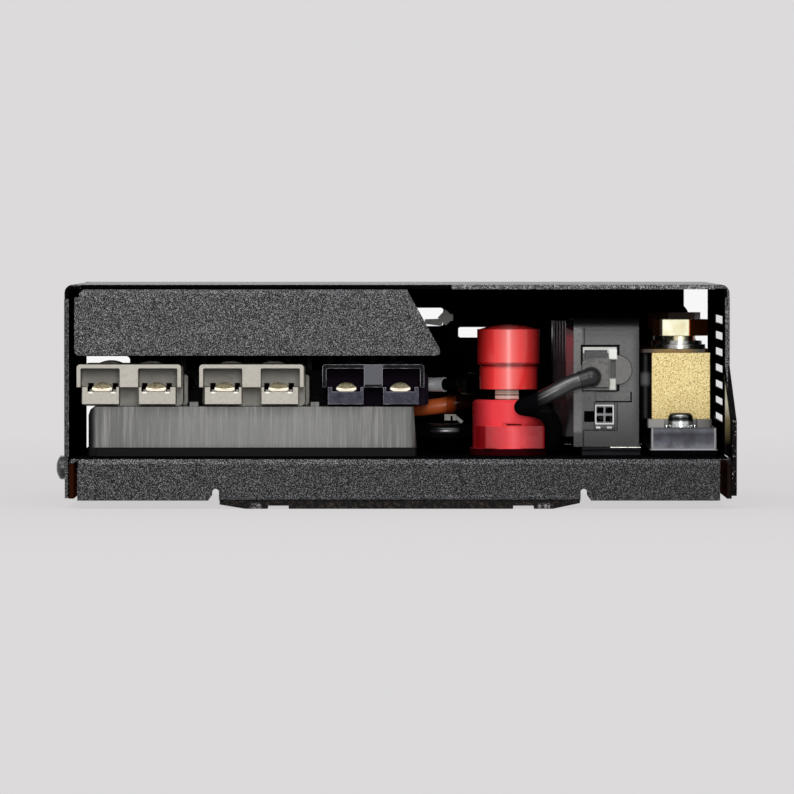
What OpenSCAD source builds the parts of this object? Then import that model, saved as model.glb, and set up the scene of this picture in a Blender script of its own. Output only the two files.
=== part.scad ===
// Battery charging station in a folded steel box: three two-pole connectors, a capped stud terminal,
// a battery monitor, a brass shunt and the charger module behind them.
// X is to the right, Y to the back and Z up; the origin is under the middle of the box, on its feet.

/* [Enclosure] */
// Width of the cover over its two side walls
body_w = 231.7; // [228:0.1:240]
// Depth of the box, front to back
body_d = 200; // [196:1:220]
// Height from the feet to the top of the cover
body_h = 78.1; // [76:0.1:90]
// Thickness of the steel sheet
sheet_t = 1.6; // [1.2:0.1:2]
// Outside radius of the bends of the cover
bend_r = 3; // [2.5:0.1:4]
// Height of the tray's plate above the feet
plate_z = 18.3; // [17:0.1:20]
// How far the right ears stand out from the wall
ear_out = 2.5; // [2:0.1:3]

/* [Vents] */
// Number of slots in the right wall
vent_rows = 7; // [1:1:8]
// Distance from one slot to the next
vent_pitch = 5.8; // [5:0.1:6.5]
// Height of a slot
vent_h = 3.1; // [2:0.1:3.6]
// Length of a slot
vent_len = 120; // [40:1:140]

/* [Feet] */
// Height of the foot rails under the lips
rail_h = 2.9; // [2:0.1:4]
// Depth of a foot rail, front to back
rail_d = 16; // [12:1:24]
// Distance between the fixing holes, left to right
fix_dx = 85.5; // [60:0.5:100]
// Distance between the fixing holes, front to back
fix_dy = 179; // [150:1:184]
// Diameter of the fixing holes
fix_hole = 5.3; // [4.3:0.1:6.4]

/* [Connectors] */
// Width of each connector face, from left to right
conn_w = [36.4, 36.4, 35.4];
// Middle of each connector
conn_x = [-93.1, -50.4, -8];
// Height of a connector
conn_h = 14.7; // [14:0.1:16]
// Length of a connector
conn_len = 47.6; // [44:0.1:50]
// Depth of the mating hood
hood_d = 17; // [14:0.5:20]
// Distance from the connector's middle to a contact
pole_x = 9.4; // [9:0.1:10]

/* [Terminals] */
// Diameter of the red cap
cap_d = 21.9; // [20:0.1:24]
// Diameter of the red insulator
stud_base_d = 25.2; // [24:0.1:26]
// Width of the brass blocks
block_w = 20.3; // [18:0.1:22]
// Height of the brass blocks
block_h = 23.1; // [20:0.1:25]
// Width across the flats of the brass bolts
bolt_af = 17; // [16:0.1:18]

/* [Cables] */
// Diameter of the stud lead and the shunt lead
lead_d = 5.6; // [5:0.1:6]
// Diameter of the connectors' leads
wire_d = 4.2; // [3.6:0.1:5.4]
// Diameter of the monitor lead
thin_d = 5.6; // [3:0.1:5.8]

/* [Hidden] */
$fn = 64;

// Places that the whole box shares
head_h = 3;
half_d = body_d / 2;
left_x = head_h - (body_w + ear_out + head_h) / 2;
right_x = left_x + body_w;
in_left = left_x + sheet_t;
in_right = right_x - sheet_t;
top_in = body_h - sheet_t;
tray_x1 = in_left;
tray_x2 = right_x + ear_out - sheet_t - 0.1;
tray_r = 2.8;
eps = 0.01;

// Helpers for flat profiles and for the way they are drawn out
module along_y(y1, y2) translate([0, y2, 0]) rotate([90, 0, 0]) linear_extrude(y2 - y1) children();
module along_x(x1, x2) translate([x1, 0, 0]) rotate([90, 0, 90]) linear_extrude(x2 - x1) children();
module along_z(z1, z2) translate([0, 0, z1]) linear_extrude(z2 - z1) children();
module block(p1, p2) translate(p1) cube(p2 - p1);
module rod_x(x1, x2, y, z, r) translate([x1, y, z]) rotate([0, 90, 0]) cylinder(h = x2 - x1, r = r);
module rod_y(y1, y2, x, z, r) translate([x, y2, z]) rotate([90, 0, 0]) cylinder(h = y2 - y1, r = r);
module rod_z(z1, z2, x, y, r) translate([x, y, z1]) cylinder(h = z2 - z1, r = r);
module hex_z(z1, z2, x, y, af) translate([x, y, z1]) cylinder(h = z2 - z1, d = af / cos(30), $fn = 6);

// A flat rectangle from one corner to the other, with round corners
module soft_rect(p1, p2, r) {
    w = p2.x - p1.x;
    h = p2.y - p1.y;
    translate(p1) {
        translate([r, 0]) square([w - 2 * r, h]);
        translate([0, r]) square([w, h - 2 * r]);
        for (x = [r, w - r], y = [r, h - r]) translate([x, y]) circle(r);
    }
}

// A flat rectangle with only its two upper corners round
module arch_rect(x1, x2, z1, z2, r) {
    translate([x1, z1]) square([x2 - x1, z2 - z1 - r]);
    translate([x1 + r, z1]) square([x2 - x1 - 2 * r, z2 - z1]);
    for (x = [x1 + r, x2 - r]) translate([x, z2 - r]) circle(r);
}

// The section of a sheet folded down at both sides
module fold_section(x1, x2, z1, z2, r) difference() {
    arch_rect(x1, x2, z1, z2, r);
    arch_rect(x1 + sheet_t, x2 - sheet_t, z1 - 1, z2 - sheet_t, r - sheet_t);
}

// The section of an angle: its corner is the origin, one leg runs right and the other down
module angle_section(w, h, r) difference() {
    union() {
        translate([r, -h]) square([w - r, h]);
        translate([0, -h]) square([w, h - r]);
        translate([r, -r]) circle(r);
    }
    translate([sheet_t, -h - 1]) {
        ri = r - sheet_t;
        translate([ri, 0]) square([w, h + 1 - sheet_t]);
        square([w, h + 1 - sheet_t - ri]);
        translate([ri, h + 1 - sheet_t - ri]) circle(ri);
    }
}

// A pan head with its flat face at the origin, standing up
module pan_head(r, h) rotate_extrude() {
    intersection() {
        translate([0, h - r * 1.6]) circle(r * 1.6);
        square([r, h]);
    }
}

// A cylinder head with a round upper edge, standing up
module round_head(r, h, e) rotate_extrude() {
    square([r, h - e]);
    square([r - e, h]);
    translate([r - e, h - e]) circle(e);
}

// Cords: a smooth curve through hand-picked points, and a tube along it
function bend_point(a, b, c, d, t) = 0.5 * (2 * b + (c - a) * t + (2 * a - 5 * b + 4 * c - d) * t * t
    + (3 * b - a - 3 * c + d) * t * t * t);
function smooth_route(p, steps) = let (n = len(p) - 1) [for (i = [0:n - 1], k = [0:steps - 1])
    bend_point(p[max(i - 1, 0)], p[i], p[i + 1], p[min(i + 2, n)], k / steps), p[n]];
function unit(v) = v / norm(v);
function across(v, t) = unit(v - (v * t) * t);
function route_dirs(q) = let (n = len(q) - 1) [for (i = [0:n]) unit(q[min(i + 1, n)] - q[max(i - 1, 0)])];
function carry_sides(d, i, s) = i >= len(d) ? []
    : let (u = across(s, d[i])) concat([u], carry_sides(d, i + 1, u));
module tube(q, dia, sides, widen = 0) {
    d = route_dirs(q);
    s = carry_sides(d, 0, abs(d[0].z) > 0.8 ? [1, 0, 0] : [0, 0, 1]);
    n = len(q);
    rings = [for (i = [0:n - 1], k = [0:sides - 1]) let (a = 360 * k / sides)
        q[i] + (dia + widen * i / (n - 1)) / 2 * (cos(a) * s[i] + sin(a) * cross(d[i], s[i]))];
    walls = [for (i = [0:n - 2], k = [0:sides - 1]) let (m = (k + 1) % sides)
        [(i + 1) * sides + k, (i + 1) * sides + m, i * sides + m, i * sides + k]];
    polyhedron(points = rings, faces = concat(walls,
        [[for (k = [0:sides - 1]) k], [for (k = [sides - 1:-1:0]) (n - 1) * sides + k]]));
}
module cord(points, dia) tube(smooth_route(points, 3), dia, 10);

// Folded cover

ear_y = 24;
ear_z_low = 4.5;
// Where the front and the rear ear leave the wall, and where they turn down again
ear_top = [49.4, 27.6];
ear_bend = [30.3, 22.4];
// Where each begins, along the depth
ear_at = [-half_d, half_d - bend_r - ear_y];
wall_low = 3.6;
rear_wall_x2 = 105.8;
side_screw_y = [-88, 0, 88];
side_screw_z = 14.2;
screw_r = 2;
hole_r = 2.1;
// The recess takes this much off the crown of a side screw
crown_loss = 0.12;

module ear(i) intersection() {
    along_y(ear_at[i], ear_at[i] + ear_y) polygon([[right_x - sheet_t, ear_top[i]], [right_x, ear_top[i]],
        [right_x + ear_out, ear_bend[i]], [right_x + ear_out, ear_z_low],
        [right_x + ear_out - sheet_t, ear_z_low], [right_x + ear_out - sheet_t, ear_bend[i]]]);
    along_x(right_x - 3, right_x + 4)
        soft_rect([ear_at[i], ear_z_low], [ear_at[i] + ear_y, ear_top[i] + 6], 2.5);
}

// The end of the front ear is folded in and closes the gap beside the wall, down to the tray's bend
module ear_return(y1, y2) along_y(y1, y2) polygon([[right_x - 0.9, ear_top[0] - 1.6],
    [right_x - 0.4, ear_top[0] - 0.4], [right_x + ear_out - 0.2, ear_bend[0]],
    [right_x + ear_out - 0.2, plate_z - 3.2], [tray_x2 + 0.15, plate_z - 3.2],
    [tray_x2 + 0.1, plate_z - 2.2], [tray_x2 - 0.3, plate_z - 1.2], [tray_x2 - 0.8, plate_z - 0.5],
    [right_x - 0.9, plate_z + 0.05]]);

module rear_windows() {
    soft_rect([in_left - 4, plate_z - 8], [-98, 50.7], 1.5);
    soft_rect([2, 61.8], [17.4, 68.5], 1.2);
    soft_rect([22.7, 57.6], [46, 61.4], 1);
}

module cover() color("#2c2c2e") {
    difference() {
        union() {
            along_y(-half_d, half_d - bend_r) fold_section(left_x, right_x, wall_low, body_h, bend_r);
            block([left_x, half_d - bend_r - eps, wall_low], [in_left, half_d, body_h - bend_r]);
            difference() {
                translate([0, half_d, body_h]) mirror([0, 1, 0])
                    along_x(in_left, rear_wall_x2) angle_section(bend_r + 1, body_h - plate_z, bend_r);
                along_y(half_d - 4, half_d + 1) rear_windows();
            }
        }
        // The right wall stops above the tray, and gives way to the ears at the front and back
        block([in_right - 2, -half_d - 1, 0], [right_x + 1, half_d + 1, plate_z]);
        for (i = [0, 1])
            block([in_right - 2, ear_at[i] - 1, 0], [right_x + 1, ear_at[i] + ear_y + 0.8, ear_top[i]]);
        // Vent slots
        for (i = [0:vent_rows - 1]) translate([0, 0, 65.3 - i * vent_pitch])
            along_x(in_right - 2, right_x + 1)
                soft_rect([-70, -vent_h / 2], [vent_len - 70, vent_h / 2], 1.2);
        // Set-back of the front edge over the panel, with its deeper relief, and the front corners
        block([-110.2, -half_d - 1, top_in - 1], [19.4, -half_d + 2.4, body_h + 1]);
        block([3.6, -half_d - 1, top_in - 1], [19.4, -half_d + 5, body_h + 1]);
        block([left_x - 1, -half_d - 1, body_h - 5], [-110.2, -half_d + 2.6, body_h + 1]);
        block([111.2, -half_d - 1, body_h - 4.4], [right_x + 1, -half_d + 2.6, body_h + 1]);
        // Set-back of the left wall's foot, and its screw holes
        block([left_x - 1, -half_d - 1, 0], [in_left + 1, -half_d + 5, plate_z]);
        for (y = side_screw_y) rod_x(left_x - 1, in_left + 1, y, side_screw_z, hole_r);
    }
    difference() {
        for (i = [0, 1]) ear(i);
        for (y = rivet_y) rod_x(right_x, right_x + ear_out + 1, y, rivet_z, hole_r);
    }
    ear_return(-half_d + ear_y - sheet_t, -half_d + ear_y);
}

// Front panel over the connectors

panel_z = 53.4;
module panel_outline() polygon([[-112.1, panel_z + 1], [-111.1, panel_z], [14.3, panel_z],
    [15.2, panel_z + 0.8], [15.2, 55.6], [3.7, top_in], [-110.4, top_in], [-110.4, 73.7], [-112.1, 73.7]]);
module front_panel() color("#343436") intersection() {
    translate([0, -half_d, top_in]) along_x(-114, 16) angle_section(24, top_in - panel_z + 1, 2);
    along_y(-half_d - 1, -half_d + 30) panel_outline();
}

// Tray with four flanges, and lips for the feet

flange_x1 = -111.1;
flange_x2 = 112.8;
flange_low = 2.9;
lip_x1 = -61.75;
lip_x2 = 64.2;
rivet_y = [-half_d + 12, half_d - bend_r - 12];
rivet_z = 10;
relief_top = 7;
fix_x = [(lip_x1 + lip_x2 - fix_dx) / 2 + 0.4, (lip_x1 + lip_x2 + fix_dx) / 2 + 0.4];
fix_y = [-fix_dy / 2, fix_dy / 2];

// The notch beside a lip: a round-topped slot that flares outward at the bottom
module relief(x, w, side) {
    translate([x - w / 2, 0]) square([w, relief_top - w / 2]);
    translate([x, relief_top - w / 2]) circle(w / 2);
    polygon([[x, 5.4], [x + side * w / 2, 4.9], [x + side * (w / 2 + 1.6), flange_low - 0.2],
        [x, flange_low - 0.2]]);
}

module base_tray() color("#303032") {
    difference() {
        union() {
            along_y(-half_d + tray_r, half_d - tray_r) fold_section(tray_x1, tray_x2, 3.5, plate_z, tray_r);
            along_x(flange_x1, flange_x2) fold_section(-half_d, half_d, flange_low, plate_z, tray_r);
        }
        along_y(-half_d - 1, half_d + 1) {
            relief(-62.9, 2.35, -1);
            relief(65.3, 2.2, 1);
        }
        // The front flange's left corner
        along_y(-half_d - 1, -half_d + sheet_t) polygon([[flange_x1 - 1, 14], [flange_x1, 14],
            [flange_x1 + 1.1, plate_z + 1], [flange_x1 - 1, plate_z + 1]]);
        for (y = [-half_d - 1, half_d - tray_r - 1])
            block([lip_x1, y, 0], [lip_x2, y + tray_r + 2, flange_low + tray_r]);
        for (y = side_screw_y) rod_x(tray_x1 - 1, tray_x1 + 3, y, side_screw_z, hole_r);
        for (y = rivet_y) rod_x(tray_x2 - 3, tray_x2 + 1, y, rivet_z, hole_r);
        for (p = tray_screw_at) rod_z(plate_z - 3, plate_z + 1, p.x, p.y, hole_r);
        for (y = shunt_screw_y) rod_z(plate_z - 3, plate_z + 1, shunt_screw_x, y, hole_r);
    }
    for (side = [0, 1]) mirror([0, side, 0]) difference() {
        translate([0, -half_d, flange_low]) mirror([0, 0, 1])
            along_x(lip_x1, lip_x2) angle_section(rail_d + 3, tray_r + 0.6, tray_r);
        for (x = fix_x) rod_z(0, 10, x, -fix_dy / 2, fix_hole / 2);
    }
}

// Foot rails under the lips: tapered ends and a recess at each fixing hole

module rail_section() polygon([[lip_x1 + 0.2, rail_h], [lip_x1 + 0.2, 1.5], [lip_x1 + 9.2, 0],
    [fix_x[0] - 3.7, 0], [fix_x[0] - 3.6, 1.1], [fix_x[0] + 3.6, 1.1], [fix_x[0] + 3.7, 0],
    [fix_x[1] - 3.7, 0], [fix_x[1] - 3.6, 1.1], [fix_x[1] + 3.6, 1.1], [fix_x[1] + 3.7, 0],
    [lip_x2 - 9.7, 0], [lip_x2 - 0.2, 2], [lip_x2 - 0.2, rail_h]]);
module foot_rail() difference() {
    along_y(-half_d + 2, -half_d + 2 + rail_d) rail_section();
    for (x = fix_x) rod_z(-1, rail_h + 1, x, -fix_dy / 2, fix_hole / 2);
}
module foot_rail_front() color("#262628") foot_rail();
module foot_rail_rear() color("#262628") mirror([0, 1, 0]) foot_rail();

module fixing_nuts() color("#b9bcc0") for (x = fix_x, y = fix_y) difference() {
    rod_z(flange_low + sheet_t, flange_low + sheet_t + 3.4, x, y, 4.6);
    rod_z(flange_low, flange_low + sheet_t + 5, x, y, 2.1);
}

// Screws and rivets at the sides

module side_screws() color("#232325") for (y = side_screw_y) {
    translate([left_x, y, side_screw_z]) rotate([0, -90, 0]) difference() {
        pan_head(4.15, head_h + crown_loss);
        translate([0, 0, head_h - 1.6]) cylinder(h = 3, d = 2.9, $fn = 6);
    }
    rod_x(left_x - eps, tray_x1 + sheet_t + 3.2, y, side_screw_z, screw_r);
}
module ear_rivets() color("#2c2c2e") for (y = rivet_y) {
    rod_x(tray_x2 - sheet_t - 1, right_x + ear_out, y, rivet_z, screw_r);
    rod_x(tray_x2 - sheet_t - 1, tray_x2 - sheet_t, y, rivet_z, 3.4);
}

// Carrier under the connectors

carrier_x1 = -107.3;
carrier_x2 = 7.1;
carrier_top = 35.6;
carrier_y1 = -97.2;
carrier_y2 = -52;
rib_y2 = -63.4;
front_y = -99.6;
screw_y = [front_y + 26, front_y + 40];
module connector_carrier() color("#3b3b3a") difference() {
    union() {
        intersection() {
            along_z(plate_z, carrier_top) soft_rect([carrier_x1, carrier_y1], [carrier_x2, carrier_y2], 2.2);
            along_y(carrier_y1 - 1, carrier_y2 + 1) polygon([[carrier_x1, plate_z],
                [carrier_x1, carrier_top - 3], [carrier_x1 + 0.7, carrier_top - 1],
                [carrier_x1 + 2, carrier_top], [carrier_x2 - 1.1, carrier_top],
                [carrier_x2, plate_z + 3], [carrier_x2, plate_z]]);
        }
        along_x(carrier_x1 + 3, carrier_x2 - 0.5) polygon([[carrier_y1 + 1, plate_z], [-99.4, plate_z],
            [-99.4, plate_z + 1.6], [-98.9, plate_z + 2.7], [carrier_y1 + 1, plate_z + 2.9]]);
        // Ribs between the connectors
        for (x = [-70.5, -28.35]) block([x - 1.5, carrier_y1 + 0.4, carrier_top - 2],
            [x + 1.5, rib_y2, carrier_top + 1.6]);
    }
    for (p = tray_screw_at) rod_z(plate_z - 1, plate_z + 9, p.x, p.y, screw_r);
    for (x = conn_x, y = screw_y) rod_z(carrier_top - 7, carrier_top + 1, x, y, 1.5);
}

// Two-pole connectors: a hood over two tongues, alike on both halves of a mated pair

hood_z = carrier_top + 6.8;
conn_top = carrier_top + conn_h;
hood_back = front_y + hood_d;
conn_back = front_y + conn_len;
hood_wall = 1.35;
web_w = 6.4;
groove_w = 10;
groove_z = carrier_top + 5.2;
wire_z = carrier_top + 7.2;
barrel_r = 4;
boss_r = 9.7;
sunk = 2.4;

module housing(x, w) translate([x, 0, 0]) difference() {
    union() {
        along_y(front_y, hood_back + 1) arch_rect(-w / 2, w / 2, hood_z, conn_top, 1.2);
        for (s = [0, 1]) mirror([s, 0, 0]) {
            block([3.5, front_y + 0.2, carrier_top + 0.9], [w / 2 - 1.95, hood_back + 1, hood_z]);
            // Arched boss over the wire's bore
            intersection() {
                rod_y(front_y + 22, conn_back - 2, pole_x - 2, conn_top + 0.95 - boss_r, boss_r);
                block([1, front_y, conn_top - 1], [w / 2 - 2.2, conn_back, conn_top + 1]);
            }
        }
        along_y(hood_back, conn_back)
            soft_rect([-w / 2 + 1.5, carrier_top], [w / 2 + 0.3, conn_top], 1.6);
        along_y(front_y + 37, conn_back - 1)
            soft_rect([-w / 2 + 0.4, carrier_top], [w / 2 + 1.6, conn_top - 4], 1);
    }
    for (s = [0, 1]) mirror([s, 0, 0]) {
        // Mating cavity above the tongue
        along_y(front_y - 1, hood_back - 0.6)
            arch_rect(web_w / 2, w / 2 - hood_wall, hood_z, conn_top - hood_wall, 0.5);
        // Groove of the contact, its slot into the body, and the wire's bore
        block([pole_x - groove_w / 2, front_y - 1, groove_z],
            [pole_x + groove_w / 2, hood_back - 0.6, hood_z + 1]);
        block([pole_x - 3.6, hood_back - 1, groove_z], [pole_x + 3.6, hood_back + 6, groove_z + 1.6]);
        rod_y(hood_back + 5, conn_back + 1, pole_x, wire_z, barrel_r + 0.05);
    }
    for (y = screw_y) {
        rod_z(carrier_top - 1, conn_top + 1, 0, y, 1.6);
        rod_z(conn_top - sunk, conn_top + 1, 0, y, 3.2);
    }
}
module connector_housing_1() color("#b9b5aa") housing(conn_x[0], conn_w[0]);
module connector_housing_2() color("#b9b5aa") housing(conn_x[1], conn_w[1]);
module connector_housing_3() color("#1d1d20") housing(conn_x[2], conn_w[2]);

// Contacts: a sprung blade with a crowned hump near its nose, and a round barrel for the wire

hump_r = 9;
crown_r = 4.17;
contact_w = 7;
contact_z = groove_z + 0.2;
barrel_y = hood_back + 6;
module blade_section() {
    translate([front_y + 1.6, 0]) square([hood_d + 4.6, 1.2]);
    translate([front_y + 1.6, 0.6]) circle(0.6);
    intersection() {
        translate([front_y + 7, 3 - hump_r]) circle(hump_r);
        translate([front_y, 0]) square([14, 4]);
    }
}
module contact(x) translate([x, 0, contact_z]) {
    intersection() {
        along_x(-contact_w / 2, contact_w / 2) blade_section();
        rod_y(front_y - 1, barrel_y + 1, 0, 3 - crown_r, crown_r);
    }
    difference() {
        rod_y(barrel_y - 0.8, barrel_y + 12, 0, wire_z - contact_z, barrel_r);
        rod_y(barrel_y + 1, barrel_y + 13, 0, wire_z - contact_z, wire_d / 2 + 0.03);
    }
}
module contact_pair(x) for (s = [-1, 1]) contact(x + s * pole_x);
module connector_contacts_1() color("#cfc9b8") contact_pair(conn_x[0]);
module connector_contacts_2() color("#cfc9b8") contact_pair(conn_x[1]);
module connector_contacts_3() color("#d8d0b4") contact_pair(conn_x[2]);

module connector_screws() color("#b9bcc0") for (x = conn_x, y = screw_y) {
    translate([x, y, conn_top - sunk]) pan_head(3, 1.9);
    rod_z(carrier_top - 6, conn_top - sunk + eps, x, y, 1.45);
}

// Red stud terminal

stud_x = 39.3;
stud_y = -76;
base_r = stud_base_d / 2;
base_top = 37.7;
lug_t = 1.2;
lug_step = lug_t + 0.04;
lug_turns = [90, 128];
nut_z = base_top + 2 * lug_step;
boss_top = 28.7;
module stud_base() color("#cf3f49") difference() {
    union() {
        rod_z(plate_z, plate_z + 2.6, stud_x, stud_y, base_r + 1);
        translate([stud_x, stud_y, 0]) along_z(plate_z + 2.5, boss_top)
            soft_rect([-8.7, -base_r - 0.4], [base_r, 0], 1);
        rod_z(plate_z + 2.5, base_top - 1, stud_x, stud_y, base_r);
        translate([stud_x, stud_y, base_top - 1 - eps]) cylinder(h = 1 + eps, r1 = base_r, r2 = base_r - 1);
    }
    rod_z(30, base_top + 1, stud_x, stud_y, 4);
    block([stud_x - 2.1, stud_y - base_r - 1, boss_top - 0.35],
        [stud_x + 4, stud_y - base_r + 0.8, boss_top + 1]);
    for (p = tray_screw_at) rod_z(plate_z - 1, plate_z + 9, p.x, p.y, screw_r);
}
module terminal_stud() color("#c9c9c4") {
    rod_z(30, 54, stud_x, stud_y, 4);
    translate([stud_x, stud_y, 54 - eps]) cylinder(h = 0.8, r1 = 4, r2 = 3.2);
}
module ring_lug(turn, z, d) translate([stud_x, stud_y, z]) rotate([0, 0, turn]) difference() {
    union() {
        cylinder(h = lug_t, r = 7.2);
        block([0, -3.6, 0], [15, 3.6, lug_t]);
        rod_x(13, 24, 0, barrel_r - 0.1, barrel_r - 0.1);
    }
    translate([0, 0, -1]) cylinder(h = 4, r = 4.05);
    rod_x(15, 25, 0, barrel_r - 0.1, d / 2 + 0.03);
}
module stud_ring_lugs() color("#8b6a45") for (i = [0, 1])
    ring_lug(lug_turns[i], base_top + i * lug_step, [lead_d, wire_d][i]);
module stud_nut_and_washer() color("#c6c6c0") difference() {
    union() {
        rod_z(nut_z, nut_z + 1.4, stud_x, stud_y, 6.6);
        hex_z(nut_z + 1.4, nut_z + 7.4, stud_x, stud_y, 11.6);
    }
    rod_z(nut_z - 1, nut_z + 9, stud_x, stud_y, 4.02);
}
cap_z = 41.4;
module stud_cap() color("#dd3133") difference() {
    union() {
        rod_z(cap_z, 49.4, stud_x, stud_y, cap_d / 2 - 0.75);
        rod_z(49.3, 50.2, stud_x, stud_y, cap_d / 2 - 1.4);
        rod_z(50.1, 62.4, stud_x, stud_y, cap_d / 2);
        translate([stud_x, stud_y, 0]) rotate_extrude() translate([0, 61.9]) intersection() {
            translate([0, 2.2 - 31]) circle(31);
            square([cap_d / 2 - 0.6, 3]);
        }
    }
    rod_z(cap_z - 1, 49, stud_x, stud_y, 7.2);
    rod_z(cap_z - 1, 56, stud_x, stud_y, 5.2);
}

// Battery monitor

mon_x1 = 61.9;
mon_x2 = 84.8;
mon_y1 = -90;
mon_y2 = -34;
mon_z1 = 21.4;
mon_z2 = 66;
mon_side = 6.9;
mon_front_top = 64;

// The box seen from the side: its upper front edge is round
module monitor_profile() difference() {
    union() {
        translate([mon_y1, mon_z1]) square([mon_y2 - mon_y1, mon_front_top - 3 - mon_z1]);
        translate([mon_y1 + 5, mon_z1]) square([mon_y2 - mon_y1 - 5, mon_z2 - mon_z1]);
        translate([mon_y1 + 5, mon_front_top - 3]) circle(5);
    }
    translate([mon_y2 - 3, mon_z1 - 1]) square([4, 3]);
}
plug_x = [64.8, 77.5];
plug_zs = [40.8, 56.7];
boss_at = [77.1, 48.3];
socket_x = [69.1, 76.3];
socket_zs = [27.7, 37.1];
door_low = 27.3;
module monitor_case() color("#6e6e6c") difference() {
    union() {
        along_x(mon_x1, mon_x2) monitor_profile();
        // Latch bar under the plug
        block([69.7, mon_y1 - 0.5, 37.4], [82, mon_y1 + 1, 40.6]);
    }
    // Recesses of the plug, the socket and its latch
    block([plug_x[0], mon_y1 - 1, plug_zs[0]], [plug_x[1], mon_y1 + 1.5, plug_zs[1]]);
    block([65.8, mon_y1 - 1, 41.9], [73.9, mon_y1 + 11, 54.8]);
    rod_y(mon_y1 - 1, mon_y1 + 1.5, boss_at[0], boss_at[1], 5.2);
    block([socket_x[0], mon_y1 - 1, socket_zs[0]], [socket_x[1], mon_y1 + 10, socket_zs[1]]);
    block([65.6, mon_y1 - 1, 30.1], [socket_x[0] + 0.1, mon_y1 + 3, 33.9]);
    // Seams of the door
    block([65.5, mon_y1 - 1, plug_zs[1]], [65.8, mon_y1 + 0.6, mon_z2]);
    block([65.2, mon_y1 - 1, mon_z1 - 1], [65.5, mon_y1 + 0.6, door_low]);
    block([65.2, mon_y1 - 1, door_low - 0.3], [77.3, mon_y1 + 0.6, door_low]);
    block([77, mon_y1 - 1, door_low], [77.3, mon_y1 + 0.6, 37.4]);
}
module monitor_side_panel() color("#5b3033") difference() {
    along_z(mon_z1 + 3.6, mon_z2 - 0.6) polygon([[mon_x1, mon_y1 + 0.6], [mon_x1, mon_y2 - 4],
        [mon_x1 - mon_side, mon_y2 - 4], [mon_x1 - mon_side, mon_y1 + 14], [mon_x1 - 2.6, mon_y1 + 2.4]]);
    along_x(mon_x1 - 9, mon_x1 + 1) polygon([[mon_y1 - 1, mon_z2], [mon_y1 - 1, mon_z2 - 5],
        [mon_y1 + 1, mon_z2 - 4], [mon_y1 + 6, mon_z2 - 0.5], [mon_y1 + 6, mon_z2]]);
}
boot_root = [67.9, mon_y1 - 5.2, 45.9];
boot_turn = [0, -106, 5];
boot_len = 4.2;
module at_boot() translate(boot_root) rotate(boot_turn) children();
module monitor_plug() color("#8d8d8a") difference() {
    union() {
        block([65.9, mon_y1 - 1.4, 42], [73.8, mon_y1 + 10.8, 54.7]);
        block([plug_x[0] + 0.2, mon_y1 - 0.4, plug_zs[0] + 0.2],
            [plug_x[1] - 0.2, mon_y1 + 1.4, plug_zs[1] - 0.2]);
        // Round boss beside the plug, and the raised rests over and under its slot
        rod_y(mon_y1 - 1, mon_y1 + 1.4, boss_at[0], boss_at[1], 5.1);
        block([74.2, mon_y1 - 1.6, 52.1], [77, mon_y1, 55.5]);
        block([74.5, mon_y1 - 1.6, 41.4], [76.5, mon_y1, 45.1]);
        // Moulded right-angle end, and the elbow that turns the lead to the left
        along_y(mon_y1 - 4.2, mon_y1 - 1.3) polygon([[64.9, 44.2], [64.9, 51.2], [67.5, 52.9],
            [74.2, 53.1], [74.2, 42.3], [66.6, 42.3]]);
        rod_y(mon_y1 - 4.9, mon_y1 - 4, boot_root.x, boot_root.z, 3.6);
        translate(boot_root) sphere(r = 3.35);
        at_boot() cylinder(h = boot_len, r = 3.15);
    }
    block([74.9, mon_y1 - 2, 45.6], [76.5, mon_y1 + 1.5, 51.7]);
    at_boot() translate([0, 0, boot_len - 2.4]) cylinder(h = 9, r = thin_d / 2 + 0.03);
}
module monitor_socket() color("#a9a9a6") difference() {
    block([socket_x[0] + 0.1, mon_y1 - 0.3, socket_zs[0] + 0.1],
        [socket_x[1] - 0.1, mon_y1 + 9.8, socket_zs[1] - 0.1]);
    for (x = [71.1, 74.3], z = [31.2, 34.2])
        translate([x, 0, z]) along_y(mon_y1 - 1, mon_y1 + 7) soft_rect([-1.2, -0.95], [1.2, 0.95], 0.3);
}
module monitor_bracket() color("#c2c2bd") difference() {
    union() {
        block([mon_x1 + 3, mon_y1 + 1, mon_z1 - 1], [mon_x2 + 0.6, mon_y2 - 6, mon_z1]);
        block([74.6, mon_y1 - 1.2, mon_z1 - 1], [mon_x2 + 0.6, mon_y1 + 1 + eps, mon_z1]);
        for (y = [mon_y1 + 6, mon_y2 - 20])
            block([mon_x1 + 3, y, plate_z], [mon_x2 + 0.6, y + 10, mon_z1 - 1 + eps]);
    }
    for (p = tray_screw_at) rod_z(plate_z - 1, mon_z1 + 1, p.x, p.y, screw_r);
}

// Lead of the monitor: out of the boot, down to the left, and back under the red insulator's cap
thin_route = [[65.98, -95.37, 45.35], [63.11, -95.62, 44.52], [60.2, -96.1, 43.45], [56, -96.8, 41.3],
    [52, -97.1, 39.2], [47.5, -97.1, 36.9], [44.95, -96.05, 36.1], [43.9, -93.5, 35.4],
    [44.95, -90.95, 35], [47.5, -89.9, 34.6], [50.6, -89.3, 33.8], [53.4, -88.4, 31.8],
    [54.9, -86.9, 28.6], [55, -84.9, 25], [55, -82.3, 22.4], [56.2, -76, 21.4], [56.4, -66, 21.3],
    [56.4, -54, 21.3], [54, -40, 21.3], [48, -30, 21.3], [34, -24.5, 21.3], [14, -21.5, 21.3],
    [-6, -20.6, 21.3], [-27.9, -20.5, 21.3]];
module monitor_lead() color("#1b1b1d") cord(thin_route, thin_d);

// Brass shunt on its moulded base

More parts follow.
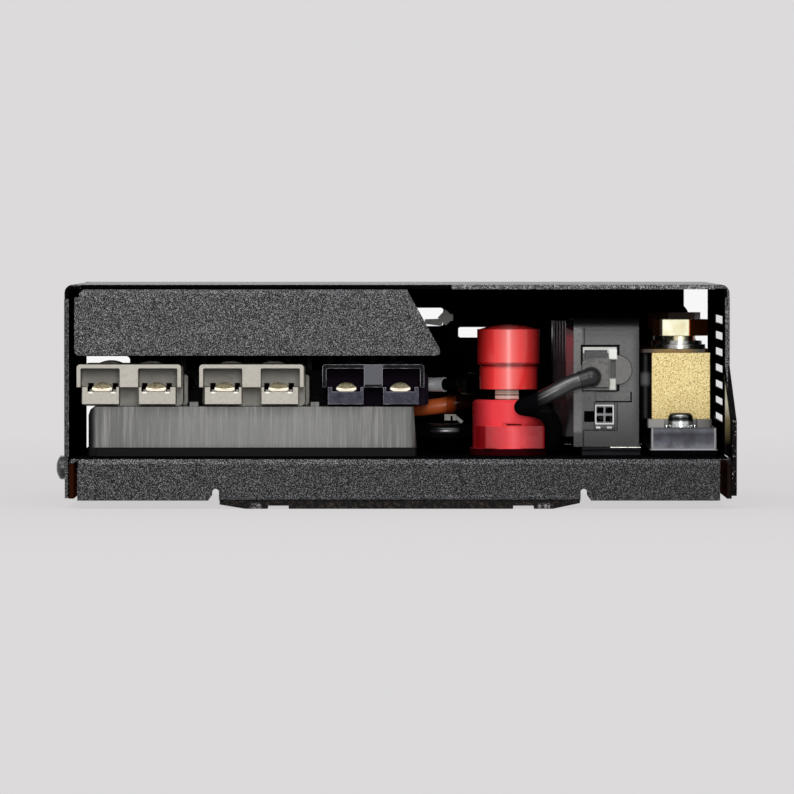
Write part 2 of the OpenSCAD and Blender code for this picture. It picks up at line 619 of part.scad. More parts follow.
shunt_x = 99.5;
base_y1 = -97.2;
base_y2 = 23;
ledge_z = 28.2;
block_z = 31.1;
block_y = [[-86, -62], [-14, 10]];
block_top = block_z + block_h;
bolt_y = [-75, -1];
board_t = 1.3;
board_top = block_top + board_t;
module shunt_base() color("#4b4b4c") difference() {
    union() {
        along_z(plate_z, ledge_z) soft_rect([88.9, base_y1 + 0.8], [111.6, base_y2 - 0.8], 1);
        along_z(plate_z, plate_z + 2.3) soft_rect([88.5, base_y1], [112, base_y2], 1);
        along_z(ledge_z - eps, block_z) soft_rect([87.8, base_y1 + 1.4], [110, base_y2 - 1.4], 1);
    }
    for (y = shunt_screw_y) rod_z(plate_z - 1, block_z + 1, shunt_screw_x, y, screw_r + 0.03);
    // Ledges in front of and behind the blocks, where the screws sit
    for (p = [[base_y1 - 1, base_y1 + 10.6], [base_y2 - 10.6, base_y2 + 1]])
        block([93.4, p[0], ledge_z], [105, p[1], block_z + 1]);
}
shunt_screw_x = shunt_x - 0.3;
shunt_screw_y = [base_y1 + 5.2, base_y2 - 5.2];
module shunt_screws() color("#b9bcc0") for (y = shunt_screw_y) translate([shunt_screw_x, y, ledge_z]) {
    translate([0, 0, 1]) round_head(4.35, 4.2, 1.6);
    // Toothed washer under the head
    cylinder(h = 1 + eps, r = 4.5);
    for (a = [0:30:330]) rotate([0, 0, a]) block([4.3, -0.6, 0], [5.1, 0.6, 0.9]);
    rod_z(plate_z - sheet_t - 1 - ledge_z, eps, 0, 0, screw_r);
}
strip_z = [block_z + 4, block_z + 9, block_z + 14, block_z + 19];
module strips(y1, y2) for (z = strip_z) block([shunt_x - 9, y1, z - 0.8], [shunt_x + 9, y2, z + 0.8]);
module brass_block(p) difference() {
    block([shunt_x - block_w / 2, p[0], block_z], [shunt_x + block_w / 2, p[1], block_top]);
    for (y = bolt_y) rod_z(block_top - 15, block_top + 1, shunt_x, y, 5);
}
module shunt_block_front() color("#d9bd74") difference() {
    brass_block(block_y[0]);
    strips(block_y[0][1] - 4, block_y[0][1] + 1);
}
module shunt_block_rear() color("#d9bd74") difference() {
    brass_block(block_y[1]);
    strips(block_y[1][0] - 1, block_y[1][0] + 4);
}
module shunt_resistance_strips() color("#a87b55") strips(block_y[0][1] - 4, block_y[1][0] + 4);
module brass_bolt(y, z, turn) {
    difference() {
        translate([shunt_x, y, 0]) rotate([0, 0, turn]) hex_z(z, z + 5.8, 0, 0, bolt_af);
        difference() {
            rod_z(z - 1, z + 7, shunt_x, y, 12);
            translate([shunt_x, y, z - 1]) cylinder(h = 9, r1 = 17, r2 = 8.2);
        }
    }
    rod_z(block_top - 14, z + eps, shunt_x, y, 5);
}
washer_z = board_top;
front_head_z = washer_z + 4.6;
rear_head_z = front_head_z + 1.8;
module shunt_bolt_front() color("#c9a24a") brass_bolt(bolt_y[0], front_head_z, -11);
module shunt_bolt_rear() color("#c9a24a") brass_bolt(bolt_y[1], rear_head_z, 16);
module washer(z1, z2, y, r) difference() {
    rod_z(z1, z2, shunt_x, y, r);
    rod_z(z1 - 1, z2 + 1, shunt_x, y, 5.05);
}
module shunt_washers() color("#c3c6c9") {
    washer(washer_z, washer_z + 1.6, bolt_y[0], 8.8);
    washer(washer_z + 1.6, washer_z + 2.9, bolt_y[0], 7.6);
    washer(washer_z + 2.2, rear_head_z, bolt_y[1], 7.6);
}
module shunt_board() color("#31352f") difference() {
    along_z(block_top, board_top) soft_rect([85, block_y[0][0] + 0.6], [109.2, block_y[1][1] + 1.5], 1.5);
    for (y = bolt_y) rod_z(block_top - 1, board_top + 1, shunt_x, y, 5.05);
}
// Moulded cover of the board's parts, under the board and beside the blocks
module shunt_board_cover() color("#161618") along_z(block_z, block_top)
    soft_rect([85.4, -80], [89.2, -16], 1.6);
module shunt_rear_lug() color("#b98a52") difference() {
    union() {
        along_z(board_top, board_top + 2.2)
            soft_rect([shunt_x - 8, bolt_y[1] - 8], [shunt_x + 8, bolt_y[1] + 18], 3);
        rod_y(bolt_y[1] + 14, bolt_y[1] + 30, shunt_x, board_top + 4.2, 5.3);
    }
    rod_z(board_top - 1, board_top + 3, shunt_x, bolt_y[1], 5.05);
    rod_y(bolt_y[1] + 17, bolt_y[1] + 31, shunt_x, board_top + 4.2, lead_d / 2 + 0.05);
}

// Charger module: a finned housing, its end plate, screws and terminal block

mod_x1 = -94;
mod_x2 = 2;
mod_y1 = -16;
mod_y2 = 92;
mod_z = 46;
plate_t = 3;
fin_top = 58;
fin_n = 13;
fin_pitch = (mod_x2 - mod_x1 - 6) / (fin_n - 1);
plate_screw_at = [for (x = [mod_x1 + 4, mod_x2 - 3.6], z = [plate_z + 4, mod_z - 3.4]) [x, z]];
// Ports of the end plate: two input leads, two solar leads, output, stud and shunt
port_at = [[-83.8, wire_z], [-74, wire_z], [conn_x[1] - pole_x, wire_z], [conn_x[1] + pole_x, wire_z],
    [conn_x[2] - pole_x, wire_z], [-8, 36.4], [-8, 28]];
module fin_section() {
    soft_rect([mod_x1, plate_z], [mod_x2, mod_z], 1.5);
    for (i = [0:fin_n - 1]) translate([mod_x1 + 3 + i * fin_pitch, mod_z - 1]) {
        translate([-1, 0]) square([2, fin_top - mod_z]);
        translate([0, fin_top - mod_z]) circle(1);
    }
}
module charger_module() color("#232326") difference() {
    along_y(mod_y1 + plate_t, mod_y2) fin_section();
    for (p = plate_screw_at) rod_y(mod_y1, mod_y1 + 12, p.x, p.y, 1.5);
    for (p = port_at) rod_y(mod_y1, mod_y1 + 9, p.x, p.y, lead_d / 2 + 0.1);
    for (p = tray_screw_at) rod_z(plate_z - 1, plate_z + 9, p.x, p.y, screw_r);
}
module module_end_plate() color("#1c1c1f") difference() {
    along_y(mod_y1, mod_y1 + plate_t) soft_rect([mod_x1, plate_z], [mod_x2, mod_z + 1], 2);
    for (p = plate_screw_at) rod_y(mod_y1 - 1, mod_y1 + 4, p.x, p.y, 1.6);
    for (p = port_at) rod_y(mod_y1 - 1, mod_y1 + 4, p.x, p.y, lead_d / 2 + 0.1);
}
module module_screws() color("#b9bcc0") for (p = plate_screw_at) {
    translate([p.x, mod_y1, p.y]) rotate([90, 0, 0]) pan_head(2.8, 1.8);
    rod_y(mod_y1 - eps, mod_y1 + 11, p.x, p.y, 1.45);
}
block_x = [-56, -28];
module module_terminal_block() color("#2d4a3a") difference() {
    block([block_x[0], mod_y1 - 9, plate_z], [block_x[1], mod_y1, plate_z + 10]);
    for (i = [0:4]) rod_z(plate_z + 5, plate_z + 11, block_x[0] + 4 + i * 5, mod_y1 - 4.5, 1.8);
}

// Screws from under the tray, into the module, the carrier, the insulator and the bracket

tray_screw_at = [[mod_x1 + 12, 0], [mod_x2 - 12, 0], [mod_x1 + 12, 76], [mod_x2 - 12, 76],
    [-93, -64], [-50, -64], [-8, -64], [stud_x - 8, stud_y], [stud_x + 8, stud_y],
    [74, mon_y1 + 11], [74, mon_y2 - 15]];
module tray_screws() color("#b9bcc0") for (p = tray_screw_at) {
    under = plate_z - sheet_t;
    translate([p.x, p.y, under]) rotate([180, 0, 0]) pan_head(3.6, 2.3);
    rod_z(under - eps, plate_z + (p.x > 60 ? 2.1 : 8), p.x, p.y, screw_r - 0.05);
}

// Leads between the connectors, the terminals and the module

wire_y = barrel_y + 3;
port_y = mod_y1 + 8;
function lead_to_port(x, p) = [[x, wire_y, wire_z], [x, wire_y + 10, wire_z], [x, -54, wire_z],
    [x + (p.x - x) * 0.08, -47, wire_z], [x + (p.x - x) * 0.5, -35, wire_z],
    [p.x - (p.x - x) * 0.08, -23, wire_z], [p.x, mod_y1, wire_z], [p.x, port_y, wire_z]];
module lead_input_pair() color("#202022") for (i = [0, 1])
    cord(lead_to_port(conn_x[0] + (2 * i - 1) * pole_x, port_at[i]), wire_d);
module lead_solar_pair() color("#202022") for (i = [2, 3])
    rod_y(wire_y, port_y, port_at[i].x, wire_z, wire_d / 2);
module lead_output_negative() color("#202022") rod_y(wire_y, port_y, port_at[4].x, wire_z, wire_d / 2);

// From the third connector's right pole to the upper ring lug, with a grey sleeve on the turn
lug_dir = [cos(lug_turns[1]), sin(lug_turns[1]), 0];
lug_axis = base_top + barrel_r - 0.1;
lug_in = [stud_x, stud_y, lug_axis + lug_step];
output_x = conn_x[2] + pole_x;
output_route = [[output_x, wire_y, wire_z], [output_x, -62, wire_z], [output_x, -53, wire_z],
    [3.2, -48.4, 42.7], [7, -46.4, 42.6], [11, -46.2, 42.5], [15, -46.6, 42.5], [18.4, -48.8, 42.6],
    lug_in + 29 * lug_dir, lug_in + 24 * lug_dir, lug_in + 16 * lug_dir];
module lead_output_positive() color("#262628") cord(output_route, wire_d);
// The sleeve widens towards its cut end
module lead_sleeve() color("#b4b6b8") {
    q = smooth_route(output_route, 3);
    difference() {
        tube([for (i = [12:20]) q[i]], wire_d + 0.5, 12, 0.5);
        tube([for (i = [11:21]) q[i]], wire_d + 0.2, 12);
    }
}

stud_route = [[port_at[5].x, port_y, port_at[5].y], [port_at[5].x, -18, 36.4], [-7.4, -28, 36],
    [-2, -37, 34.8], [6, -42, 34], [13, -43.6, 34.6], [19, -44, 35.5], [25, -43.4, 36.6],
    [31, -41, 38.4], [36.4, -39.6, 41], [stud_x, stud_y + 31, lug_axis], [stud_x, stud_y + 24, lug_axis],
    [stud_x, stud_y + 16, lug_axis]];
module lead_stud() color("#c8642a") cord(stud_route, lead_d);

tie_at = [20, 93.4, 65];
shunt_route = [[port_at[6].x, port_y, port_at[6].y], [port_at[6].x, -18, 28], [-7, -29, 27.8],
    [6, -45, 26.4], [14, -48.4, 26], [22, -48.4, 26], [31, -47, 25.6], [38, -42, 25.4], [41, -32, 26.6],
    [40, -14, 30], [33, 26, 36], [24, 64, 42], [20.4, 82, 46.8], tie_at - [0, 1.6, 13],
    tie_at - [0, 0, 7.6], tie_at - [0, 0, 2.4], tie_at + [0, 0, 2], [22.6, 93.2, 70.4], [28, 92.8, 72.4],
    [62, 91.8, 72.6], [86, 88, 71.4], [98, 77, 69.6], [103.4, 60, 66.8], [102, 47, 62.8],
    [100.1, 38, 60.3], [shunt_x, 31, 59.7], [shunt_x, 18, 59.7]];
module lead_shunt() color("#1b1b1d") cord(shunt_route, lead_d);

// Cable ties: a band, its head and its cut tail

tie_r = lead_d / 2 + 0.3;
module cable_tie_lower() color("#b7b7b2") {
    difference() {
        rod_x(17.8, 20.4, -44, 35.45, tie_r + 0.7);
        rod_x(17, 21, -44, 35.45, tie_r);
    }
    block([17, -46.4, 29.8], [21.2, -42, 32]);
    translate([20.6, -45.6, 31.4]) rotate([0, 40, 0]) block([0, 0, -0.6], [3.6, 2.6, 0.6]);
}
module cable_tie_upper() color("#b7b7b2") {
    difference() {
        rod_z(tie_at.z - 1.3, tie_at.z + 1.3, tie_at.x, tie_at.y, tie_r + 0.7);
        rod_z(tie_at.z - 2, tie_at.z + 2, tie_at.x, tie_at.y, tie_r);
    }
    translate([18.15, 0, tie_at.z]) along_y(87, 89.9) rotate(45) square(4.2, center = true);
    along_y(87.8, 89) polygon([[10.5, 64.4], [10.5, 62.7], [16.6, 61.9], [17.4, 64.6]]);
}

// Parts list
cover();
front_panel();
base_tray();
foot_rail_front();
foot_rail_rear();
fixing_nuts();
side_screws();
ear_rivets();
connector_carrier();
connector_housing_1();
connector_housing_2();
connector_housing_3();
connector_contacts_1();
connector_contacts_2();
connector_contacts_3();
connector_screws();
stud_base();
terminal_stud();
stud_ring_lugs();
stud_nut_and_washer();
stud_cap();
monitor_case();
monitor_side_panel();
monitor_plug();
monitor_socket();
monitor_bracket();
monitor_lead();
shunt_base();
shunt_block_front();
shunt_block_rear();
shunt_resistance_strips();
shunt_bolt_front();
shunt_bolt_rear();
shunt_washers();
shunt_board();
shunt_board_cover();
shunt_screws();
shunt_rear_lug();
charger_module();
module_end_plate();
module_screws();
module_terminal_block();
tray_screws();
lead_input_pair();
lead_solar_pair();
lead_output_positive();
lead_output_negative();
lead_sleeve();
lead_stud();
lead_shunt();
cable_tie_upper();
cable_tie_lower();
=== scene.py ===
"""Looks of the battery charging box: materials of the CAD nodes, smooth leads, lamps, floor and camera."""

import math

import bmesh
import bpy
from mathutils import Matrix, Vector


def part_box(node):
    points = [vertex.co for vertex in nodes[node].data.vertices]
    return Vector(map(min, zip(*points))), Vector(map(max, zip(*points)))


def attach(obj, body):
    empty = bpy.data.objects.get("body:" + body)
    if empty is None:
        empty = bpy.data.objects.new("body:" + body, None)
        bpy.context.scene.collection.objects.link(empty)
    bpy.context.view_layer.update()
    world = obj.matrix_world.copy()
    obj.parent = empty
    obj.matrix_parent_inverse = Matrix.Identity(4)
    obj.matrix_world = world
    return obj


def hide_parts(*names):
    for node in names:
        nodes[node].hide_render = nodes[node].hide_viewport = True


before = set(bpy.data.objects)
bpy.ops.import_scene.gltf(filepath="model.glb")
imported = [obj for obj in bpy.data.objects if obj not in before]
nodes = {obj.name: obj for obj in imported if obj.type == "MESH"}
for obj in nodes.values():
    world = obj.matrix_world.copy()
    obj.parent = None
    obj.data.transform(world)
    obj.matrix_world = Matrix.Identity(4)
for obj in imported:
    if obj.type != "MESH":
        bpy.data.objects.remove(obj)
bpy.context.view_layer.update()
MM = 0.001


def add_object(name, data):
    """A new object in the scene."""
    o = bpy.data.objects.new(name, data)
    bpy.context.scene.collection.objects.link(o)
    return o


def turn_towards(o, place, at):
    """Puts a camera or a lamp at a place and turns it towards a point, both in metres."""
    o.location = place
    o.rotation_euler = (Vector(at) - Vector(place)).to_track_quat("-Z", "Y").to_euler()


# Camera, far off and long, because the photograph shows hardly any perspective

CAMERA_PLACE = (0.00026, -3.570, 0.097)
CAMERA_AIM = (0.00026, -0.100, 0.039)
LENS_MM = 452
SENSOR_MM = 36

cam_data = bpy.data.cameras.new("camera")
cam_data.lens = LENS_MM
cam_data.sensor_width = SENSOR_MM
cam_data.clip_start = 0.1
cam_data.clip_end = 60
cam = add_object("camera", cam_data)
turn_towards(cam, CAMERA_PLACE, CAMERA_AIM)
bpy.context.scene.camera = cam
bpy.context.scene.view_settings.view_transform = "Standard"

# Places, in millimetres


def middle_x(name):
    """The middle of a CAD node along X."""
    lo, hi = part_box(name)
    return (lo.x + hi.x) / 2 / MM


def round_front(name, out, back):
    """From a little before a CAD node's front face to a little behind it, along Y."""
    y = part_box(name)[0].y / MM
    return (y - out, y + back)


CONNECTORS = tuple(middle_x("connector_contacts_%d" % number) for number in (1, 2, 3))
STUD_X = middle_x("stud_cap")
# Each of a connector's two poles from its middle
POLE_X = 9.4
# The middle of the lit part of the shunt's front bolt
BOLT_LIT_X = 97.3
# From before a front face to behind it, along Y: the sheets, the monitor and its grooves, the cover's ear,
# the shunt's base and the stud's base
SHEET_FRONT = round_front("front_panel", 1, 3)
MONITOR_FRONT = round_front("monitor_case", 1.5, 1.5)
MONITOR_GROOVE = round_front("monitor_case", 0.5, 1.5)
EAR_Y = (-101, -75)
SHUNT_FRONT = (-101, -90)
STUD_FRONT = (-101, -80)

# Colours


def lin(r, g, b):
    """An sRGB colour, 0 to 255, as the linear one that a shader wants."""
    def one(c):
        c /= 255
        return c / 12.92 if c <= 0.04045 else ((c + 0.055) / 1.055) ** 2.4
    return (one(r), one(g), one(b), 1)


SHADE_BLACK = lin(7, 7, 9)
BACKGROUND = lin(220, 218, 219)
PALE_CHIP = lin(150, 148, 144)
SHADE_BROWN = lin(22, 12, 9)
LEAD_SHADE = lin(8, 8, 10)
# Painted tones of the contacts' domes: lit in the grey housings, in shade in the black one
LIT_DOME_TONE = lin(170, 166, 154)
SHADED_DOME_TONE = lin(30, 28, 32)

# Node trees


def feed(tree, value, socket):
    """What a socket takes: another node's output, or a plain value."""
    if isinstance(value, bpy.types.NodeSocket):
        tree.links.new(value, socket)
    else:
        socket.default_value = value


def add_node(tree, kind, inputs=None, **settings):
    """A new node with its settings, and with what each of its inputs takes."""
    n = tree.nodes.new(kind)
    for name, value in settings.items():
        setattr(n, name, value)
    for key, value in (inputs or {}).items():
        feed(tree, value, n.inputs[key])
    return n


def mixed_shader(tree, share, first, second):
    """Two shaders mixed, with a share of the second."""
    return add_node(tree, "ShaderNodeMixShader", {"Fac": share, 1: first, 2: second}).outputs[0]


class Mat:
    """A material being built: its node tree, its shader, its colour so far and the bumps on its normal."""

    def __init__(self, name, color, rough=0.5, metal=0.0, spec=0.5, coat=0.0, coat_rough=0.1):
        start = {"Base Color": color, "Roughness": rough, "Metallic": metal, "Specular IOR Level": spec,
                 "Coat Weight": coat, "Coat Roughness": coat_rough}
        self.material = bpy.data.materials.new(name)
        self.material.use_nodes = True
        self.tree = self.material.node_tree
        self.shader = self.tree.nodes["Principled BSDF"]
        for key, value in start.items():
            self.shader.inputs[key].default_value = value
        self.place = self.new("ShaderNodeTexCoord").outputs["Object"]
        self.x, self.y, self.z = self.new("ShaderNodeSeparateXYZ", {0: self.place}).outputs
        self.normal = None
        self.gloss = None

    def new(self, kind, inputs=None, **settings):
        return add_node(self.tree, kind, inputs, **settings)

    def surface(self, shader):
        """What the material shows in place of its own shader."""
        feed(self.tree, shader, self.tree.nodes["Material Output"].inputs["Surface"])

    # Patterns, from 0 to 1

    def noise(self, scale, detail=3, rough=0.6, stretch=(1, 1, 1)):
        """Noise with a scale per metre, drawn out along an axis where its stretch is under 1."""
        place = self.new("ShaderNodeMapping", {"Vector": self.place, "Scale": stretch}).outputs["Vector"]
        inputs = {"Vector": place, "Scale": scale, "Detail": detail, "Roughness": rough}
        return self.new("ShaderNodeTexNoise", inputs).outputs["Fac"]

    def cells(self, scale):
        """Round cells, dark in their middles."""
        return self.new("ShaderNodeTexVoronoi", {"Vector": self.place, "Scale": scale}).outputs["Distance"]

    # Values and colours

    def math(self, operation, a, b=0.5, clamp=False):
        return self.new("ShaderNodeMath", {0: a, 1: b}, operation=operation, use_clamp=clamp).outputs[0]

    def remap(self, value, start, end, first, last):
        """First to last as a value goes from start to end, and no further."""
        inputs = {"Value": value, "From Min": start, "From Max": end, "To Min": first, "To Max": last}
        return self.new("ShaderNodeMapRange", inputs).outputs["Result"]

    def off(self, value, centre):
        """How far a value is from a place given in millimetres."""
        return self.math("ABSOLUTE", self.math("SUBTRACT", value, centre * MM))

    def mix(self, share, a, b, mode="MIX"):
        """Two colours mixed by the share of the second. The node takes colours in its sockets 6 and 7."""
        inputs = {0: share, 6: a, 7: b}
        return self.new("ShaderNodeMix", inputs, data_type="RGBA", blend_type=mode).outputs[2]

    def ramp(self, value, stops):
        """Colours by a value, from stops that each have a position and a colour."""
        n = self.new("ShaderNodeValToRGB", {"Fac": value})
        elements = n.color_ramp.elements
        while len(elements) < len(stops):
            elements.new(0.5)
        for element, (position, color) in zip(elements, stops):
            element.position = position
            element.color = color
        return n.outputs["Color"]

    def by_height(self, lo, hi, stops):
        """A ramp of colours from lo to hi millimetres up."""
        return self.ramp(self.rise(self.z, lo, hi), stops)

    # Masks: the most, or 1, where something is, and 0 elsewhere

    def rise(self, value, start, end, most=1.0):
        """From 0 at start to the most at end, in millimetres."""
        return self.remap(value, start * MM, end * MM, 0, most)

    def fall(self, value, start, end, most=1.0):
        """From the most at start to 0 at end, in millimetres."""
        return self.remap(value, start * MM, end * MM, most, 0)

    def highs(self, pattern, start, end, most=1.0):
        """The places where a pattern is high: 0 at its value start, the most at its value end."""
        return self.remap(pattern, start, end, 0, most)

    def lows(self, pattern, start, end, most=1.0):
        """The places where a pattern is low: the most at its value start, 0 at its value end."""
        return self.remap(pattern, start, end, most, 0)

    def all_of(self, *masks):
        """Where all the masks are; a plain number weakens them."""
        product = masks[0]
        for mask in masks[1:]:
            product = self.math("MULTIPLY", product, mask)
        return product

    def outside(self, mask, most=1.0):
        """Where a mask is not."""
        return self.math("SUBTRACT", most, mask, clamp=True)

    def band(self, value, lo, hi, soft=0.2):
        """Between lo and hi millimetres, falling to 0 over soft millimetres outside."""
        return self.all_of(self.rise(value, lo - soft, lo), self.fall(value, hi, hi + soft))

    def box(self, x=None, y=None, z=None, soft=0.15):
        """Inside a box given in millimetres; an axis left out has no ends."""
        axes = ((self.x, x), (self.y, y), (self.z, z))
        return self.all_of(*(self.band(value, *ends, soft) for value, ends in axes if ends))

    def true_normal(self):
        """Where a face looks, without the rounding and the bumps."""
        return self.new("ShaderNodeNewGeometry").outputs["True Normal"]

    def dot(self, a, b):
        return self.new("ShaderNodeVectorMath", {0: a, 1: b}, operation="DOT_PRODUCT").outputs["Value"]

    def facing(self, *direction):
        """The faces that look along a direction."""
        return self.highs(self.dot(self.true_normal(), direction), 0.35, 0.65)

    def rim(self, radius, inner, outer):
        """Along the sharp edges, by how far the rounded normal turns from the true one."""
        rounded = self.new("ShaderNodeBevel", {"Radius": radius * MM}, samples=6).outputs["Normal"]
        return self.lows(self.dot(rounded, self.true_normal()), 1 - outer, 1 - inner)

    # What the shader gets

    def color(self, tone):
        """The colour so far, which the shader shows."""
        self.tone = tone
        feed(self.tree, tone, self.shader.inputs["Base Color"])

    def over(self, mask, color):
        """Lays a colour over what the material has."""
        self.color(self.mix(mask, self.tone, color))

    def lift(self, mask, gain):
        """Painted light or shade: brightens the colour by a factor, or dims it by one under 1, so that its
        grain stays.
        """
        self.color(self.mix(mask, self.tone, (gain, gain, gain, 1), "MULTIPLY"))

    def shade(self, mask, dark=SHADE_BLACK):
        """Painted shade on a place that gets next to no light: dark and without gloss."""
        self.over(mask, dark)
        spec = self.shader.inputs["Specular IOR Level"]
        self.gloss = self.all_of(self.outside(mask), self.gloss or spec.default_value)
        feed(self.tree, self.gloss, spec)

    def gloss_coat(self, mask, weight):
        """A smooth clear coat in one place, met only at a grazing look, when it mirrors what is behind."""
        graze = self.highs(self.new("ShaderNodeLayerWeight").outputs["Facing"], 0.82, 0.97, weight)
        feed(self.tree, self.all_of(mask, graze), self.shader.inputs["Coat Weight"])

    def rough(self, pattern, low, high, start=0.3, end=0.7):
        """Roughness from low to high as a pattern goes from start to end."""
        feed(self.tree, self.remap(pattern, start, end, low, high), self.shader.inputs["Roughness"])

    def set_normal(self, normal):
        self.normal = normal
        feed(self.tree, normal, self.shader.inputs["Normal"])

    def edge(self, radius):
        """Rounds the edges a little in the light, by a radius in millimetres."""
        self.set_normal(self.new("ShaderNodeBevel", {"Radius": radius * MM}, samples=4).outputs["Normal"])

    def bump(self, height, strength, depth):
        """Bumps of a depth in millimetres, on top of the rounded edges."""
        inputs = {"Height": height, "Strength": strength, "Distance": depth * MM, "Normal": self.normal}
        self.set_normal(self.new("ShaderNodeBump", inputs).outputs["Normal"])


def paint(mat, *names):
    """Gives CAD nodes a material."""
    for name in names:
        for slot in nodes[name].material_slots:
            slot.material = mat.material


# Painted steel

# Wrinkles a metre, so that each is 0.3 mm wide, and the heights in a wrinkle at which its four tones are
COAT_GRAIN = 3500
COAT_STEPS = (0.42, 0.49, 0.55, 0.63)
STEEL = (lin(3, 3, 3), lin(7, 7, 7), lin(36, 36, 37), lin(144, 144, 146))
PANEL_STEEL = (lin(2, 2, 2), lin(5, 5, 5), lin(30, 30, 31), lin(138, 138, 140))
TRAY_STEEL = (lin(2, 2, 2), lin(3, 3, 3), lin(12, 12, 12), lin(118, 118, 120))


def powder_coat(name, tones, spec=0.18):
    """Fine wrinkled coat in four tones, from its dark pits to its pale crests."""
    m = Mat(name, tones[1], rough=0.55, spec=spec)
    m.edge(0.5)
    crease = m.noise(COAT_GRAIN * 1.7, detail=1, rough=0.5)
    wrinkle = m.mix(0.35, m.cells(COAT_GRAIN), crease)
    m.bump(wrinkle, strength=0.6, depth=0.12)
    m.color(m.ramp(wrinkle, list(zip(COAT_STEPS, tones))))
    m.rough(crease, low=0.42, high=0.66)
    return m


def rivet_steel():
    """The side rivets, whose inner ends are in painted brown shade."""
    m = powder_coat("powder_coat", STEEL)
    m.shade(m.box(x=(100, 115.6)), SHADE_BROWN)
    return m


def panel_steel():
    """The front panel, with a painted highlight on its top edge, and painted shade on the end of the bend
    over that and on its top left corner.
    """
    m = powder_coat("powder_coat_panel", PANEL_STEEL)
    top_edge = m.box(y=SHEET_FRONT, z=(75.1, 76.6), soft=0.3)
    bend_end = m.box(y=SHEET_FRONT, z=(76.45, 79), soft=0.1)
    # Painted shade over the top left corner, which is cut back on the real panel
    corner_shade = m.rise(m.math("SUBTRACT", m.z, m.x), 185.2, 185.5)
    m.lift(top_edge, 1.35)
    m.shade(bend_end)
    m.shade(corner_shade)
    return m


def cover_steel():
    """The cover, with painted shade within and on its set-back edges, a painted highlight along its front
    edge, and painted light in the gap beside its ear.
    """
    m = powder_coat("powder_coat_cover", STEEL)
    # Painted shade inside, and on the set-back edges over and beside the panel
    within = m.box((-114.4, 115.2), (-99.4, 98.6), (0, 76.7))
    edge_over_panel = m.box((-110.0, 19.2), (-98, -94.6), (76, 77.95), soft=0.05)
    edge_beside_panel = m.box((-115.4, -110.2), (-97.8, -97.2), (72, 77.6), soft=0.05)
    for mask in (within, edge_over_panel, edge_beside_panel):
        m.shade(mask)

    # Painted shade on the ear's inner side and edge and on the side windows' edges; their outward faces keep
    # the coat
    not_outward = m.outside(m.facing(0.98, 0, 0.2), 0.96)
    ear = m.box((115.5, 120), EAR_Y, (0, 49.8))
    window_edges = m.box((115, 116.3), (-74, 80), (30, 68))
    m.shade(m.all_of(ear, not_outward), lin(12, 10, 10))
    m.shade(m.all_of(window_edges, not_outward))
    chips = m.highs(m.noise(900, detail=2), 0.6, 0.66)
    ear_foot = m.box((116, 120), EAR_Y, (0, 32))
    m.over(m.all_of(chips, m.facing(0, -1, 0), ear_foot), PALE_CHIP)

    # Painted highlight along the part of the front edge right of the panel
    front_edge = m.box((19.3, 112.5), (-101, -99), (76.3, 77.95), soft=0.1)
    m.lift(front_edge, 1.5)
    # Painted light in the gap beside the ear, brightest part way up
    gap = m.all_of(m.box((115, 118.45), (-78, -75.8), (18, 50)), m.facing(-0.7, -0.7, 0))
    m.over(gap, m.by_height(22, 50, [
        (0, lin(14, 10, 8)), (0.3, lin(150, 134, 96)), (0.5, lin(255, 250, 226)),
        (0.85, lin(255, 248, 214)), (1, lin(50, 42, 30))]))
    top = m.box((-112, 114), (-99.7, 101), (77.95, 79), soft=0.1)
    m.gloss_coat(top, 0.35)
    # Painted shade dims the left front edge to half
    left_edge = m.box((-117, -114.3), (-101, -98), (0, 72), soft=0.1)
    m.lift(left_edge, 0.5)
    return m


def tray_steel():
    """The base tray, with painted shade that darkens it to the right, painted highlights along its bends, and
    painted brown shade inside its two ends.
    """
    m = powder_coat("powder_coat_tray", TRAY_STEEL, spec=0.13)
    # Painted shade that darkens it towards the right
    m.over(m.rise(m.x, -110, 115, most=0.36), lin(10, 10, 12))
    # Painted highlight along its upper bend, and painted shade on its floor's front edge over that
    upper_bend = m.box(y=SHEET_FRONT, z=(15.9, 17.1), soft=0.5)
    m.lift(upper_bend, 2.0)
    floor_edge = m.box((-113.5, 115.2), (-101, 98), (17.4, 18.7))
    m.shade(floor_edge)
    # Painted brown shade inside its left end
    left_end = m.box((-114.2, -111.3), (-99.9, -30), (2, 15.8))
    m.shade(left_end, lin(44, 20, 10))
    # Painted highlight along its lower bend
    lower_bend = m.box((-61, 63.5), SHEET_FRONT, (3.5, 4.8), soft=0.3)
    m.lift(lower_bend, 1.8)
    # Painted brown shade inside its right end and on its edge
    right_end = m.box((112.3, 117), (-99.9, 99), (2, 17))
    m.shade(m.all_of(right_end, m.facing(-1, 0, 0)), lin(36, 18, 12))
    right_edge = m.box((112.9, 117.4), (-98.5, -96), (2, 17))
    m.shade(m.all_of(right_edge, 0.9), SHADE_BROWN)
    return m


def foot_strip():
    """The dull strips under the tray, with a painted sheen in two places."""
    m = Mat("foot_strip", lin(6, 6, 7), rough=0.42, spec=0.07)
    m.edge(0.4)
    m.bump(m.noise(1400), strength=0.5, depth=0.12)
    m.rough(m.noise(120), low=0.32, high=0.6, start=0, end=1)
    m.color(m.ramp(m.noise(900, rough=0.7), [(0.5, lin(10, 8, 8)), (0.72, lin(66, 58, 52))]))
    for x in (-49.1, 51.7):
        sheen_spot = m.box((x - 1.6, x + 1.6), (-101, -96), (0.3, 1.3), soft=0.9)
        m.over(m.all_of(sheen_spot, m.highs(m.noise(1300, detail=2), 0.45, 0.6)), lin(150, 149, 147))
    return m


